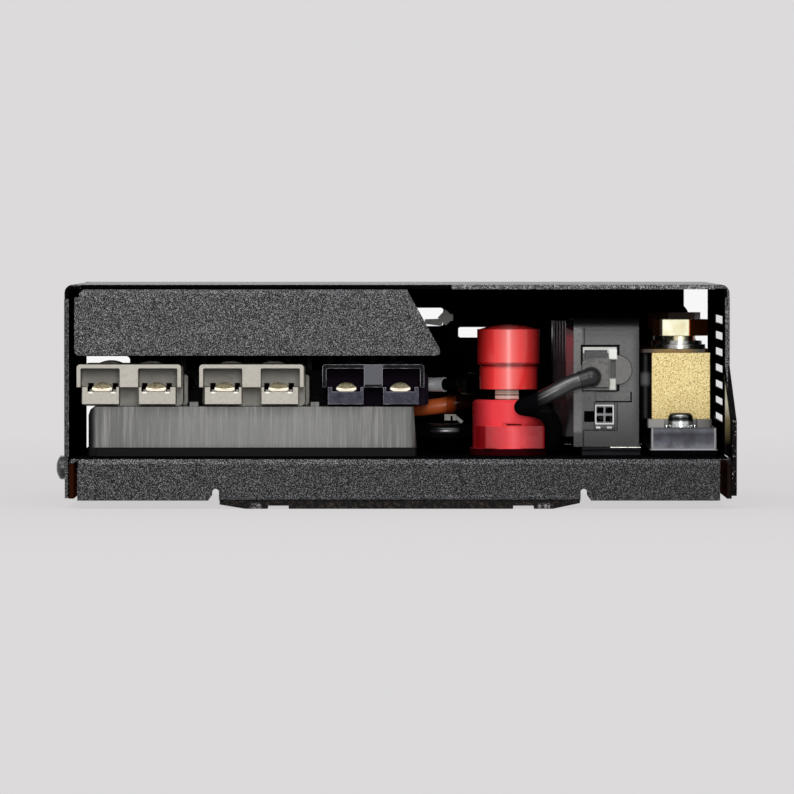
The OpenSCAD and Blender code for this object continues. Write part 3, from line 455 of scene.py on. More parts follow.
def black_screws():
    """The black screws of the left side, with painted highlights in pale flecks, whose inner ends are in
    painted shade.
    """
    m = Mat("black_screw", lin(20, 20, 21), rough=0.32, spec=0.6)
    m.edge(0.3)
    m.bump(m.noise(900), strength=0.5, depth=0.15)
    m.color(m.ramp(m.noise(1100, rough=0.7), [
        (0.5, lin(10, 10, 10)), (0.6, lin(60, 58, 52)), (0.72, lin(150, 146, 134))]))
    m.rough(m.noise(400), low=0.22, high=0.5, start=0, end=1)
    m.shade(m.box(x=(-115, -100)), lin(30, 14, 9))
    return m


paint(rivet_steel(), "ear_rivets")
paint(panel_steel(), "front_panel")
paint(cover_steel(), "cover")
paint(tray_steel(), "base_tray")
paint(foot_strip(), "foot_rail_front", "foot_rail_rear")
paint(black_screws(), "side_screws")

# Bare metals


def bare(name, color, shade=None, rough=0.25, grain=600, metal=1.0):
    """Bare metal with a fine grain. Its colour goes to the shade in places, if one is given."""
    m = Mat(name, color, rough=rough, metal=metal)
    m.edge(0.25)
    fine = m.noise(grain, detail=4)
    if shade:
        m.color(m.mix(m.highs(fine, 0.3, 0.75), color, shade))
    m.rough(m.noise(grain * 0.4), low=rough * 0.7, high=rough * 1.5, start=0, end=1)
    m.bump(fine, strength=0.15, depth=0.03)
    return m


def under_cap(m):
    """Bare metal in the gap under the red cap: painted shade to both sides, and in the middle painted cream
    highlights with a dark line of painted shade across.
    """
    left, right = 34.7, 42.7
    for x in ((25, left), (right, 54)):
        m.shade(m.box(x, (-84, -44), (37.4, 46)))
    middle = m.box((left, right), (-84, -60), (37.4, 43), soft=0.2)
    m.over(middle, m.by_height(37.9, 41.5, [
        (0, lin(130, 70, 60)), (0.12, lin(226, 206, 190)), (0.34, lin(240, 226, 212)),
        (0.4, lin(56, 46, 40)), (0.46, lin(56, 46, 40)), (0.52, lin(214, 202, 184)),
        (0.82, lin(196, 178, 162)), (1, lin(110, 62, 54))]))
    # Not metallic in the lit middle, so that its painted colours show
    feed(m.tree, m.outside(middle), m.shader.inputs["Metallic"])
    return m


def shunt_screw_steel():
    """The shunt's screws, whose heads get painted reflections: light and dark bands by height."""
    m = bare("zinc_steel_shaded", lin(205, 206, 204), rough=0.24, grain=900)
    m.color(m.by_height(28, 34, [
        (0, lin(120, 124, 124)), (0.12, lin(196, 202, 200)), (0.34, lin(226, 230, 228)),
        (0.46, lin(52, 54, 56)), (0.6, lin(30, 31, 33)), (0.74, lin(132, 132, 132)),
        (0.86, lin(70, 68, 66)), (1, lin(24, 22, 20))]))
    return m


def bracket_nickel():
    """The monitor's bracket: painted shade everywhere but along the lip that shows."""
    m = bare("nickel_sheet", lin(206, 205, 198), lin(170, 168, 160), rough=0.3, grain=300)
    lip = m.box((74.7, 90), (-92, -70), (21.25, 22), soft=0.1)
    m.over(m.outside(lip), lin(18, 18, 20))
    return m


def contact_silver(number, x, dome):
    """The rolled ends of one connector's contacts: a cream crescent of painted highlight, with the dome below
    it in a painted tone, lit in the grey housings and in shade in the black one.
    """
    m = Mat("contact_silver_%d" % number, lin(184, 172, 138), rough=0.42, metal=0.3)
    m.edge(0.2)
    grain = m.noise(1500, rough=0.65)
    m.color(m.ramp(grain, [
        (0.36, lin(104, 92, 62)), (0.5, lin(164, 152, 120)), (0.66, lin(212, 202, 172))]))
    m.bump(grain, strength=0.4, depth=0.08)
    # Each colour lies under a parabola with a bend per metre and a lowest place in millimetres: the cream of
    # painted highlight, then the dome's painted tone
    from_pole = m.off(m.off(m.x, x), POLE_X)
    bow = m.math("MULTIPLY", from_pole, from_pole)
    for curve, level, color in ((73.5, 41.75, lin(255, 246, 224)), (100.0, 40.45, dome)):
        edge = m.math("ADD", m.math("MULTIPLY", bow, curve), level * MM)
        m.over(m.rise(m.math("SUBTRACT", edge, m.z), -0.08, 0.08), color)
    return m


def sawn_brass():
    """The shunt's two blocks: coarse grain, faint saw marks, and darker towards the foot."""
    m = Mat("brass_block", lin(222, 198, 134), rough=0.5, metal=0.2, spec=0.4)
    m.edge(0.35)
    grain = m.noise(2300, detail=2, rough=0.65)
    saw = m.noise(420, detail=4, rough=0.7, stretch=(1.6, 1, 0.18))
    m.color(m.ramp(grain, [
        (0.35, lin(104, 78, 24)), (0.44, lin(216, 192, 124)), (0.56, lin(244, 224, 160)),
        (0.7, lin(255, 246, 200))]))
    m.over(m.highs(saw, 0.5, 0.7, most=0.22), lin(238, 220, 160))
    m.over(m.fall(m.z, 32, 44, most=0.2), lin(178, 148, 84))
    m.rough(grain, low=0.4, high=0.7)
    m.bump(grain, strength=0.5, depth=0.1)
    return m


def bolt_brass():
    """The shunt's front bolt: pale in the middle of its head, with painted brown shade on the facets to both
    sides.
    """
    m = Mat("brass_bolt", lin(255, 248, 208), rough=0.3, metal=0.92)
    m.edge(0.5)
    mottle = m.noise(160, detail=2, rough=0.5)
    m.color(m.ramp(mottle, [
        (0.3, lin(255, 246, 200)), (0.5, lin(255, 254, 220)), (0.72, lin(255, 255, 236))]))
    # Painted brown shade on the facets beside the lit one
    beside = m.rise(m.off(m.x, BOLT_LIT_X), 4.9, 5.1)
    m.shade(m.all_of(beside, m.box(z=(58, 80))), lin(150, 76, 26))
    m.rough(mottle, low=0.22, high=0.36)
    m.bump(m.noise(900), strength=0.1, depth=0.03)
    return m


paint(under_cap(bare("zinc_steel", lin(205, 206, 204), lin(160, 160, 156), rough=0.24)),
      "fixing_nuts", "connector_screws", "module_screws", "tray_screws", "shunt_washers",
      "stud_nut_and_washer", "terminal_stud")
paint(under_cap(bare("tinned_lug", lin(196, 194, 186), lin(150, 148, 140), rough=0.22, grain=700)),
      "stud_ring_lugs")
paint(shunt_screw_steel(), "shunt_screws")
paint(bracket_nickel(), "monitor_bracket")
for number, x in enumerate(CONNECTORS, 1):
    dome = SHADED_DOME_TONE if number == 3 else LIT_DOME_TONE
    paint(contact_silver(number, x, dome), "connector_contacts_%d" % number)
paint(bare("copper_lug", lin(150, 96, 60), lin(84, 52, 36), rough=0.38, grain=700), "shunt_rear_lug")
paint(bare("strip_alloy", lin(176, 120, 86), lin(120, 76, 52), rough=0.35, grain=500),
      "shunt_resistance_strips")
paint(sawn_brass(), "shunt_block_front", "shunt_block_rear")
paint(bolt_brass(), "shunt_bolt_front")
# The rear bolt: the same brass, darkened to a dull brown as painted shade at the back of the box
paint(bare("brass_bolt_shaded", lin(60, 32, 12), lin(30, 16, 6), rough=0.45, grain=260, metal=0.15),
      "shunt_bolt_rear")

# Mouldings


def moulded(name, color, shade=None, rough=0.45, spec=0.5, coat=0.0, grain=900, bump=0.12, patch=40):
    """Moulded plastic with a fine grain. Its colour goes to the shade in soft patches, if one is given."""
    m = Mat(name, color, rough=rough, spec=spec, coat=coat, coat_rough=0.12)
    m.edge(0.35)
    fine = m.noise(grain)
    if shade:
        m.color(m.mix(m.highs(m.noise(patch, rough=0.55), 0.35, 0.7, most=0.5), color, shade))
    m.rough(fine, low=rough * 0.85, high=rough * 1.2)
    m.bump(fine, strength=bump, depth=0.06)
    return m


def grey_shell(number, x):
    """The housing of one grey connector, with painted shade deep in its hoods and in the gaps beside the
    contacts, and painted glints under those gaps.
    """
    m = moulded("grey_shell_%d" % number, lin(178, 174, 163), lin(161, 156, 143), rough=0.42)
    m.over(m.highs(m.noise(1100, rough=0.7), 0.5, 0.66, most=0.45), lin(146, 140, 128))
    # Painted shade deep in the hoods, darker towards their tops
    deep_in_hoods = m.all_of(m.box(y=(-98.8, 0), z=(43, 60), soft=0.6), m.rise(m.z, 45.32, 49.8, most=0.75))
    m.over(deep_in_hoods, lin(62, 56, 48))
    # Painted shade in the gaps beside the contacts, and painted glints under those gaps
    from_pole = m.off(m.off(m.x, x), POLE_X)
    gaps = m.all_of(m.rise(from_pole, 3.2, 3.4), m.fall(from_pole, 5.1, 5.4),
                    m.box(y=(-99.3, -80), z=(40.3, 43.6), soft=0.1))
    m.shade(gaps, lin(16, 8, 8))
    glints = m.all_of(m.rise(from_pole, 3.1, 3.3), m.fall(from_pole, 4.5, 4.8),
                      m.box(y=(-99.5, -80), z=(40.3, 41.3), soft=0.1))
    m.over(glints, lin(250, 244, 232))
    return m


def black_shell(x):
    """The housing of the black connector, with painted light: a lit bar between its poles, a lighter lower
    face, painted shade behind its front face, and painted highlights in pale lines along its edges.
    """
    m = moulded("black_shell", lin(14, 13, 18), lin(10, 9, 13), rough=0.3, spec=0.03)
    face = (-100, -99.2)
    bar = m.box((x - 3.3, x + 3.3), face, (43.4, 50.5), soft=0.2)
    lower_face = m.box(y=face, z=(30, 42.2), soft=0.1)
    behind_face = m.box(y=(-99.1, 0), soft=0.1)
    m.over(bar, lin(92, 92, 99))
    m.over(m.all_of(lower_face, m.noise(700, rough=0.7)), lin(84, 84, 98))
    m.shade(behind_face, lin(34, 27, 38))
    edge_highlights = m.all_of(m.rim(0.26, 0.03, 0.14), m.box(y=SHEET_FRONT, soft=0.2),
                       m.remap(m.noise(260, detail=2), 0.4, 0.6, 0.3, 1))
    m.over(edge_highlights, lin(232, 232, 238))
    return m


def carrier_plastic():
    """The connectors' carrier: brushed upright, with a painted pool of light in the middle and painted shade
    at its left end and foot.
    """
    m = Mat("carrier_plastic", lin(70, 70, 68), rough=0.34, spec=0.6)
    m.edge(0.4)
    clouds = m.noise(16, detail=2, rough=0.5, stretch=(2.2, 1, 0.05))
    streaks = m.noise(90, detail=4, stretch=(3.2, 3.2, 0.12))
    scratches = m.noise(420, rough=0.7, stretch=(2.6, 2.6, 0.12))
    patches = m.noise(130, stretch=(3, 1, 0.3))
    m.color(m.mix(m.highs(clouds, 0.32, 0.68), lin(38, 38, 36), lin(92, 92, 89)))
    m.over(m.highs(streaks, 0.48, 0.66, most=0.8), lin(134, 133, 129))
    m.over(m.highs(scratches, 0.46, 0.62, most=0.6), lin(26, 26, 25))
    m.over(m.lows(scratches, 0.36, 0.46, most=0.3), PALE_CHIP)
    m.over(m.lows(patches, 0.3, 0.46, most=0.5), lin(34, 34, 33))
    # A painted pool of light in the middle, and painted shade at the left end and the foot
    middle = m.all_of(m.band(m.x, -70, -30, soft=34), m.band(m.z, 23, 31, soft=5))
    m.over(m.all_of(middle, 0.5), lin(118, 118, 115))
    left_end = m.band(m.x, -120, -106.3, soft=2)
    foot = m.box(z=(0, 21.3), soft=0.1)
    m.shade(m.math("MAXIMUM", left_end, foot), lin(26, 26, 27))
    m.rough(streaks, low=0.28, high=0.46)
    m.bump(m.noise(1300), strength=0.14, depth=0.05)
    return m


def cap_red():
    """The stud's glossy cap, with a painted highlight down its middle and painted shade to its sides and at
    its step.
    """
    m = moulded("red_cap", lin(250, 62, 60), lin(238, 48, 48), rough=0.24, coat=0.5, grain=90, bump=0.0,
                patch=60)
    away = m.off(m.x, STUD_X)
    m.over(m.fall(away, 0.4, 4, most=0.6), lin(255, 140, 134))
    m.over(m.rise(away, 4.6, 11.2, most=0.95), lin(116, 4, 8))
    wavy_z = m.math("ADD", m.z, m.all_of(m.noise(40, detail=2, rough=0.5), 0.9 * MM))
    m.over(m.all_of(m.rise(wavy_z, 48.6, 50.8, most=0.8), m.box(z=(40, 50.75))), lin(120, 4, 8))
    return m


def base_red():
    """The stud's base, with painted shade to its sides and across its front step, a painted highlight down
    the middle of that step, and painted shade in the slot over it and under its foot.
    """
    m = moulded("red_base", lin(242, 64, 72), lin(222, 50, 58), rough=0.4, spec=0.2, grain=500, patch=80)
    m.over(m.rise(m.off(m.x, STUD_X), 5.5, 12.6, most=0.85), lin(112, 6, 16))
    step = m.box((28, 53), STUD_FRONT, (20.9, 28.4), soft=0.3)
    from_line = m.off(m.x, 41)
    m.over(m.all_of(step, m.rise(from_line, 1.5, 12)), lin(134, 10, 18))
    m.over(m.all_of(step, m.fall(from_line, 0, 2.6, most=0.6)), lin(255, 104, 108))
    slot = m.box((38.5, 43.6), STUD_FRONT, (28.95, 29.25), soft=0.25)
    foot = m.box(z=(0, 20.6))
    m.shade(slot, lin(56, 3, 6))
    m.shade(foot, lin(50, 6, 11))
    return m


def case_shell():
    """The monitor's case, with painted shade at its foot, its top and its right, a painted lighter strip down
    its left side, and painted shadow lines in its front.
    """
    m = moulded("monitor_shell", lin(88, 87, 86), lin(72, 71, 71), rough=0.42, spec=0.4, grain=1400,
                bump=0.5)
    # Painted shade at the foot, the top and the right side
    m.over(m.fall(m.z, 23, 40), lin(8, 8, 9))
    m.over(m.rise(m.z, 58.5, 64.5), lin(14, 14, 15))
    m.over(m.rise(m.x, 82, 84.4, most=0.9), lin(20, 20, 21))
    # A painted lighter strip down the left side
    left_side = m.box((61.6, 64.3), MONITOR_FRONT, (27, 62.5), soft=0.9)
    m.over(left_side, lin(100, 99, 98))
    mottle = m.highs(m.noise(900, rough=0.7), 0.5, 0.66, most=0.4)
    m.over(m.all_of(m.box(y=MONITOR_FRONT, z=(20, 64)), mottle), lin(40, 40, 40))
    # Painted shadow lines under and beside the bar, and painted shade in the gaps round the plug and beside
    # the socket
    for x, z in (((69.6, 82.2), (37.0, 37.35)), ((81.75, 82.2), (37.2, 40.6)), ((77.5, 77.9), (41, 56.8)),
                 ((64.6, 78), (56.7, 57.05)), ((64.4, 64.75), (50, 57))):
        m.shade(m.box(x, MONITOR_GROOVE, z, soft=0.08))
    beside_socket = m.box((65.6, 69.2), (-89.6, -80), (30, 34), soft=0.08)
    m.shade(beside_socket)
    return m


def side_shell():
    """The monitor's side: a red stripe that fades downwards, and fine pale lines left of it."""
    m = moulded("side_shell", lin(44, 41, 43), lin(20, 18, 21), rough=0.3, coat=0.1, grain=1200, bump=0.2,
                patch=260)
    stripe = m.band(m.x, 59.4, 62, soft=0.4)
    m.over(stripe, m.by_height(30, 64, [
        (0, lin(12, 5, 8)), (0.35, lin(30, 9, 13)), (0.6, lin(84, 18, 26)), (0.85, lin(108, 26, 34)),
        (0.93, lin(54, 13, 18)), (1, lin(12, 8, 10))]))
    line_pitch = 0.95
    waves = m.math("SINE", m.math("MULTIPLY", m.x, 2 * math.pi / (line_pitch * MM)))
    lines = m.all_of(m.highs(waves, 0.6, 0.95, most=0.8), m.band(m.x, 53.4, 59.2, soft=0.6),
                     m.band(m.z, 60, 64.5, soft=9))
    m.over(lines, lin(170, 168, 170))
    return m


def plug_shell():
    """The plug in the monitor: pale latch parts, painted shade in the gaps round it, a ridged body and a dark
    neck.
    """
    m = moulded("plug_shell", lin(90, 89, 86), lin(70, 69, 66), rough=0.36, spec=0.4, bump=0.3)
    top_strip = m.box(y=(-91.8, -90.2), z=(54.2, 56.2), soft=0.1)
    upper_latch = m.box((74.1, 77.1), (-92, -90.2), (52, 55.6), soft=0.1)
    lower_latch = m.box((74.4, 76.6), (-92, -90.2), (41.3, 45.2), soft=0.1)
    m.over(top_strip, lin(196, 195, 190))
    m.over(upper_latch, lin(226, 226, 222))
    m.over(lower_latch, lin(200, 200, 194))
    # Painted shade in the gaps round the plug
    for x, z in (((60, 65.15), (50, 60)), ((76.95, 77.6), (40, 57)), ((60, 78), (40, 41.15)),
                 ((60, 78), (56.3, 57))):
        m.shade(m.box(x, (-90.6, -88), z, soft=0.08))
    ridges = m.highs(m.noise(420, stretch=(1, 1, 1.8)), 0.42, 0.62, most=0.75)
    body = m.box((64.5, 74), (-94.3, -91), (42, 54), soft=0.1)
    shoulder = m.box((65.7, 73.6), (-94.3, -90), (52.4, 55.2), soft=0.1)
    neck = m.box(y=(-100, -94.4), soft=0.1)
    m.over(m.all_of(body, ridges), lin(40, 40, 41))
    m.over(shoulder, lin(38, 38, 40))
    m.over(neck, lin(26, 26, 29))
    return m


def socket_shell():
    """The monitor's socket: a pale frame round a cross, two pale feet, and painted shade in its holes, with
    painted glints in them.
    """
    m = moulded("socket_shell", lin(46, 46, 50), lin(34, 34, 38), rough=0.4)
    hole = m.box((69.95, 75.5), MONITOR_GROOVE, (29.8, 35.6), soft=0.05)
    whole = m.box((69.45, 76.0), MONITOR_GROOVE, (29.3, 36.1), soft=0.05)
    cross = m.math("MAXIMUM", m.band(m.x, 72.5, 72.9, soft=0.1), m.band(m.z, 32.5, 32.9, soft=0.1))
    m.over(m.math("SUBTRACT", whole, m.all_of(hole, m.outside(cross))), lin(196, 194, 196))
    m.over(m.all_of(cross, hole), lin(112, 112, 118))
    for x, pale in (((69.8, 71.2), lin(210, 210, 208)), ((73.6, 75.2), lin(190, 190, 188))):
        m.over(m.box(x, MONITOR_GROOVE, (27.8, 28.5), soft=0.05), pale)
    inside = m.box(y=(-89.5, -70), soft=0.1)
    m.shade(inside)
    m.over(m.all_of(inside, m.highs(m.noise(520, detail=2), 0.55, 0.6)), lin(120, 118, 120))
    return m


def shunt_foot():
    """The shunt's insulating base, with painted light: a highlight along the ledge at its foot, light and
    dark bands up its front, highlights on its corners, and shade under its foot; a pale ledge on top.
    """
    m = moulded("shunt_foot", lin(84, 84, 96), rough=0.3, spec=0.1, grain=700, bump=0.08)
    m.color(m.by_height(20, 28.4, [
        (0, lin(20, 20, 22)), (0.05, lin(176, 176, 180)), (0.13, lin(116, 116, 122)),
        (0.4, lin(84, 84, 96)), (0.7, lin(56, 56, 64)), (0.88, lin(98, 98, 106)), (1, lin(34, 34, 38))]))
    front = m.box((90.5, 110), SHUNT_FRONT, (21.5, 27.6), soft=0.8)
    mottle = m.lows(m.noise(220), 0.36, 0.6, most=0.6)
    m.over(m.all_of(mottle, front), lin(26, 26, 32))
    for x in ((88.8, 89.5), (110.9, 111.7)):
        m.over(m.box(x, SHUNT_FRONT, (20.6, 28), soft=0.1), lin(158, 158, 160))
    ledge = m.box(z=(28.25, 31.4), soft=0.05)
    m.over(ledge, m.mix(m.rise(m.x, 98, 110), lin(138, 136, 133), lin(74, 72, 70)))
    foot = m.box(z=(0, 20.4), soft=0.05)
    m.shade(foot, lin(6, 6, 7))
    return m


def circuit_board():
    """The shunt's brown board, speckled with a painted reflection of the brass in its middle."""
    m = moulded("board", lin(40, 24, 8), lin(26, 14, 4), rough=0.4, spec=0.3)
    m.over(m.all_of(m.band(m.x, 93, 101, soft=5), m.noise(600, rough=0.7)), lin(176, 140, 66))
    return m


def board_cover():
    """The board's black cover, with one painted soft highlight on its front."""
    m = moulded("black_mould", lin(9, 9, 10), lin(6, 6, 7), rough=0.4, spec=0.15)
    soft_light = m.box((84, 88), (-81, -70), (43.6, 46.4), soft=1.4)
    m.over(soft_light, lin(96, 96, 98))
    return m


def tie_nylon():
    """The cable ties: pale nylon. Painted shade darkens the lower tie and draws a dark line across it; its
    band is painted with the orange lead's colour and shading as if seen through it, fading into painted shade
    to the right; the upper tie's right end is in painted shade.
    """
    m = moulded("tie_grey", lin(255, 253, 246), lin(240, 238, 230), rough=0.42, spec=0.9)
    lower_tie_shade = m.box((5, 30), (-70, -30), (20, 50))
    m.over(lower_tie_shade, lin(138, 135, 122))
    see_through_paint = m.by_height(32, 38.4, [
        (0, lin(60, 16, 8)), (0.35, lin(170, 66, 26)), (0.7, lin(190, 84, 36)), (1, lin(50, 14, 8))])
    to_the_right = m.remap(m.x, 17.4 * MM, 20.8 * MM, 0.1, 0.65)
    lower_band = m.box((17, 22), (-50, -40), (32.1, 40), soft=0.1)
    lower_dark_line = m.box((19.2, 19.9), (-70, -30), (20, 31.4), soft=0.1)
    upper_right_end = m.box((20.9, 34), (80, 100), (50, 78), soft=0.2)
    m.shade(lower_band, m.mix(to_the_right, see_through_paint, lin(24, 8, 6)))
    m.shade(lower_dark_line)
    m.shade(upper_right_end)
    return m


for number, x in zip((1, 2), CONNECTORS):
    paint(grey_shell(number, x), "connector_housing_%d" % number)
paint(black_shell(CONNECTORS[2]), "connector_housing_3")
paint(carrier_plastic(), "connector_carrier")
paint(cap_red(), "stud_cap")
paint(base_red(), "stud_base")
paint(case_shell(), "monitor_case")
paint(side_shell(), "monitor_side_panel")
paint(plug_shell(), "monitor_plug")
paint(socket_shell(), "monitor_socket")
paint(shunt_foot(), "shunt_base")
paint(circuit_board(), "shunt_board")
paint(board_cover(), "shunt_board_cover")
paint(moulded("block_green", lin(44, 84, 62), lin(34, 68, 50), rough=0.42), "module_terminal_block")
# The module and its end plate: near black, partly their own black and partly painted shade, as they sit in
# the dark inside the box
paint(moulded("module_alloy", lin(20, 20, 22), lin(15, 15, 17), spec=0.2, grain=1500, bump=0.2),
      "charger_module")
paint(moulded("end_plate", lin(12, 12, 13), lin(9, 9, 10), rough=0.5, spec=0.1, grain=1300, bump=0.2),
      "module_end_plate")
paint(tie_nylon(), "cable_tie_upper", "cable_tie_lower")

# Jackets of the leads


def jacket(name, color, shade, lit=None, **finish):
    """A lead's smooth jacket. Where light falls on one place only, lit is that box and how soft it is, and
    the rest is painted shade.
    """
    m = moulded(name, color, shade, grain=500, bump=0.1, **finish)
    if lit:
        m.shade(m.outside(m.box(*lit)), LEAD_SHADE)
    return m


def orange_jacket():
    """The stud's orange lead, in painted shade on its way to the stud."""
    m = jacket("lead_orange", lin(230, 112, 54), lin(208, 92, 44), rough=0.34, coat=0.1)
    m.shade(m.band(m.x, 21.5, 60, soft=6), lin(30, 8, 5))
    return m


# Where light falls on two leads, and how soft its edges are; the rest of those leads is painted shade
BEFORE_PLUG = ((56, 75), (-101, -93), (40, 52), 7)
UNDER_ORANGE = ((14.5, 19.5), (-60, -44), (20, 32), 3)

black_jacket = jacket("lead_black", lin(12, 12, 14), lin(9, 9, 10), rough=0.35, spec=0.15)
monitor_jacket = jacket("lead_thin", lin(34, 34, 36), lin(26, 26, 28), BEFORE_PLUG, rough=0.3, spec=0.9)
rear_jacket = jacket("lead_back", lin(18, 18, 20), lin(12, 12, 14), UNDER_ORANGE, rough=0.2, spec=0.55)
stud_jacket = orange_jacket()
sleeve = moulded("sleeve_grey", lin(226, 228, 232), lin(196, 198, 202), rough=0.3, coat=0.1, grain=300,
                 bump=0.25)
paint(black_jacket, "lead_input_pair", "lead_solar_pair", "lead_output_negative")
paint(monitor_jacket, "monitor_lead")
paint(rear_jacket, "lead_shunt", "lead_output_positive")
paint(stud_jacket, "lead_stud")
paint(sleeve, "lead_sleeve")

# Shapes of the leads, smooth along the CAD's own routes

# Parts of a smooth path between two points of its route
CURVE_STEPS = 8
TUBE_SIDES = 24


def through(points):
    """A smooth path through given points, the same curve as the CAD's."""
    p = [Vector(q) * MM for q in points]
    n = len(p) - 1
    path = []
    for i in range(n):
        a, b, c, d = p[max(i - 1, 0)], p[i], p[i + 1], p[min(i + 2, n)]
        for k in range(CURVE_STEPS):
            t = k / CURVE_STEPS
            path.append(0.5 * (2 * b + (c - a) * t + (2 * a - 5 * b + 4 * c - d) * t * t
                               + (3 * b - a - 3 * c + d) * t * t * t))
    return path + [p[n]]


def mesh_object(name, bm):
    """A new object with the mesh that a bmesh holds."""
    mesh = bpy.data.meshes.new(name)
    bm.to_mesh(mesh)
    bm.free()
    return add_object(name, mesh)


def tube(name, path, radii, mat, node):
    """A closed tube along a path in place of a CAD node. Its radii at both ends are in millimetres."""
    bm = bmesh.new()
    n = len(path)
    turns = [2 * math.pi * k / TUBE_SIDES for k in range(TUBE_SIDES)]
    side = Vector((0, 0, 1))
    rings = []
    for i, q in enumerate(path):
        ahead = (path[min(i + 1, n - 1)] - path[max(i - 1, 0)]).normalized()
        side = (side - side.dot(ahead) * ahead).normalized()
        other = ahead.cross(side)
        r = (radii[0] + (radii[1] - radii[0]) * i / (n - 1)) * MM
        rings.append([bm.verts.new(q + r * (math.cos(a) * side + math.sin(a) * other)) for a in turns])
    for a, b in zip(rings, rings[1:]):
        for k in range(TUBE_SIDES):
            following = (k + 1) % TUBE_SIDES
            bm.faces.new((b[k], b[following], a[following], a[k])).smooth = True
    bm.faces.new(rings[0])
    bm.faces.new(list(reversed(rings[-1])))
    bmesh.ops.recalc_face_normals(bm, faces=bm.faces)
    o = mesh_object(name, bm)
    o.data.materials.append(mat.material)
    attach(o, "root")
    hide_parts(node)


# Radii at the start and the end
THICK = (2.8, 2.8)
THIN = (2.1, 2.1)
SLEEVE = (2.35, 2.6)
# The sleeve's two ends, counted in points of the output lead's route
SLEEVE_FROM = 4
SLEEVE_TO = 6.75

monitor_route = [(65.98, -95.37, 45.35), (63.11, -95.62, 44.52), (60.2, -96.1, 43.45), (56, -96.8, 41.3),
                 (52, -97.1, 39.2), (47.5, -97.1, 36.9), (44.95, -96.05, 36.1), (43.9, -93.5, 35.4),
                 (44.95, -90.95, 35), (47.5, -89.9, 34.6), (50.6, -89.3, 33.8), (53.4, -88.4, 31.8),
                 (54.9, -86.9, 28.6), (55, -84.9, 25), (55, -82.3, 22.4), (56.2, -76, 21.4),
                 (56.4, -66, 21.3), (56.4, -54, 21.3), (54, -40, 21.3), (48, -30, 21.3), (34, -24.5, 21.3),
                 (14, -21.5, 21.3), (-6, -20.6, 21.3), (-27.9, -20.5, 21.3)]
output_route = [(1.4, -73.6, 42.8), (1.4, -62, 42.8), (1.4, -53, 42.8), (3.2, -48.4, 42.7), (7, -46.4, 42.6),
                (11, -46.2, 42.5), (15, -46.6, 42.5), (18.4, -48.8, 42.6), (21.446, -53.148, 42.84),
                (24.524, -57.088, 42.84), (29.449, -63.392, 42.84)]
stud_route = [(-8, -8, 36.4), (-8, -18, 36.4), (-7.4, -28, 36), (-2, -37, 34.8), (6, -42, 34),
              (13, -43.6, 34.6), (19, -44, 35.5), (25, -43.4, 36.6), (31, -41, 38.4), (36.4, -39.6, 41),
              (39.3, -45, 41.6), (39.3, -52, 41.6), (39.3, -60, 41.6)]
shunt_route = [(-8, -8, 28), (-8, -18, 28), (-7, -29, 27.8), (6, -45, 26.4), (14, -48.4, 26), (22, -48.4, 26),
               (31, -47, 25.6), (38, -42, 25.4), (41, -32, 26.6), (40, -14, 30), (33, 26, 36), (24, 64, 42),
               (20.4, 82, 46.8), (20, 91.8, 52), (20, 93.4, 57.4), (20, 93.4, 62.6), (20, 93.4, 67),
               (22.6, 93.2, 70.4), (28, 92.8, 72.4), (62, 91.8, 72.6), (86, 88, 71.4), (98, 77, 69.6),
               (103.4, 60, 66.8), (102, 47, 62.8), (100.1, 38, 60.3), (99.5, 31, 59.7), (99.5, 18, 59.7)]
sleeved = through(output_route)[SLEEVE_FROM * CURVE_STEPS:int(SLEEVE_TO * CURVE_STEPS)]
tube("monitor_lead_smooth", through(monitor_route), THICK, monitor_jacket, "monitor_lead")
tube("output_lead_smooth", through(output_route), THIN, rear_jacket, "lead_output_positive")
tube("stud_lead_smooth", through(stud_route), THICK, stud_jacket, "lead_stud")
tube("shunt_lead_smooth", through(shunt_route), THICK, rear_jacket, "lead_shunt")
tube("sleeve_smooth", sleeved, SLEEVE, sleeve, "lead_sleeve")

# Floor, with a soft end where it goes over into the background

FLOOR_RADIUS = 1.3
FADE_FROM = 0.3
FADE_TO = 1.2
# How much of the floor is the background's own even colour; the rest takes light and shadow
FLOOR_EVEN = 0.82


def floor_finish():
    """The floor's pale material, which is clear where it ends."""
    m = Mat("floor", (0.68, 0.666, 0.672, 1), rough=0.9, spec=0.0)
    even = m.new("ShaderNodeEmission", {"Color": BACKGROUND}).outputs[0]
    clear = m.new("ShaderNodeBsdfTransparent").outputs[0]
    distance = m.new("ShaderNodeVectorMath", {0: m.place}, operation="LENGTH").outputs["Value"]
    near = mixed_shader(m.tree, FLOOR_EVEN, m.shader.outputs[0], even)
    m.surface(mixed_shader(m.tree, m.remap(distance, FADE_FROM, FADE_TO, 0, 1), near, clear))
    return m


bm = bmesh.new()
bmesh.ops.create_circle(bm, cap_ends=True, segments=96, radius=FLOOR_RADIUS)
floor = mesh_object("floor", bm)
floor.data.materials.append(floor_finish().material)

# White cards behind the openings of the rear wall, seen only from the front. Each has its X, Y and Z.

CARDS = (((-113.9, -97.4), 100.4, (11, 51.2)), ((1.6, 18), 100.4, (61.4, 69)),
         ((22.4, 46.4), 100.4, (57.2, 62)), ((105.9, 114.4), 96.9, (18.6, 76.4)))


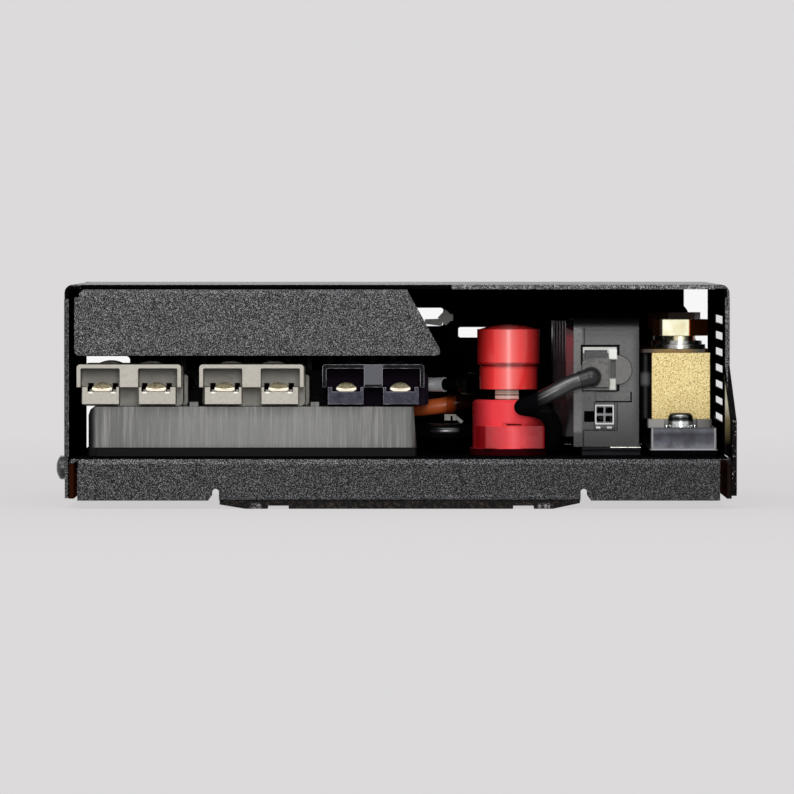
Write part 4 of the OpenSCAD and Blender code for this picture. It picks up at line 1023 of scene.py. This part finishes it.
def card_finish():
    """The cards' even white, clear from behind."""
    m = Mat("card", (1, 1, 1, 1))
    glow = m.new("ShaderNodeEmission", {"Color": lin(248, 247, 247)}).outputs[0]
    clear = m.new("ShaderNodeBsdfTransparent").outputs[0]
    behind = m.new("ShaderNodeNewGeometry").outputs["Backfacing"]
    m.surface(mixed_shader(m.tree, behind, glow, clear))
    return m


white = card_finish()
for number, ((left, right), y, (low, high)) in enumerate(CARDS):
    bm = bmesh.new()
    bm.faces.new([bm.verts.new((x * MM, y * MM, z * MM))
                  for x, z in ((left, low), (right, low), (right, high), (left, high))])
    card = mesh_object("card_%d" % number, bm)
    card.data.materials.append(white.material)

# World: the background's colour where the camera, gloss or glass sees it, and soft white light elsewhere

AMBIENT = 0.3

world = bpy.data.worlds.new("world")
bpy.context.scene.world = world
world.use_nodes = True
sky = world.node_tree
sky.nodes.clear()
rays = add_node(sky, "ShaderNodeLightPath").outputs
seen = rays["Is Camera Ray"]
for kind in ("Is Glossy Ray", "Is Transmission Ray"):
    seen = add_node(sky, "ShaderNodeMath", {0: seen, 1: rays[kind]}, operation="MAXIMUM").outputs[0]
ambient = add_node(sky, "ShaderNodeBackground", {"Color": (1, 1, 1, 1), "Strength": AMBIENT}).outputs[0]
backdrop = add_node(sky, "ShaderNodeBackground", {"Color": BACKGROUND, "Strength": 1}).outputs[0]
add_node(sky, "ShaderNodeOutputWorld", {"Surface": mixed_shader(sky, seen, ambient, backdrop)})

# Lamps


def lamp(name, place, at, width, height, power):
    """A soft rectangular lamp at a place, turned towards a point, in metres and watts."""
    d = bpy.data.lights.new(name, "AREA")
    d.shape = "RECTANGLE"
    d.size = width
    d.size_y = height
    d.energy = power
    turn_towards(add_object(name, d), place, at)


lamp("key", (-0.15, -1.05, 1.15), (0, -0.05, 0.04), width=1.5, height=0.7, power=13)
lamp("fill", (0.05, -2.4, 0.4), (0, -0.1, 0.05), width=0.4, height=0.6, power=14)
lamp("back", (0, 1.3, 1.1), (0, 0, 0.05), width=1.6, height=0.6, power=6)
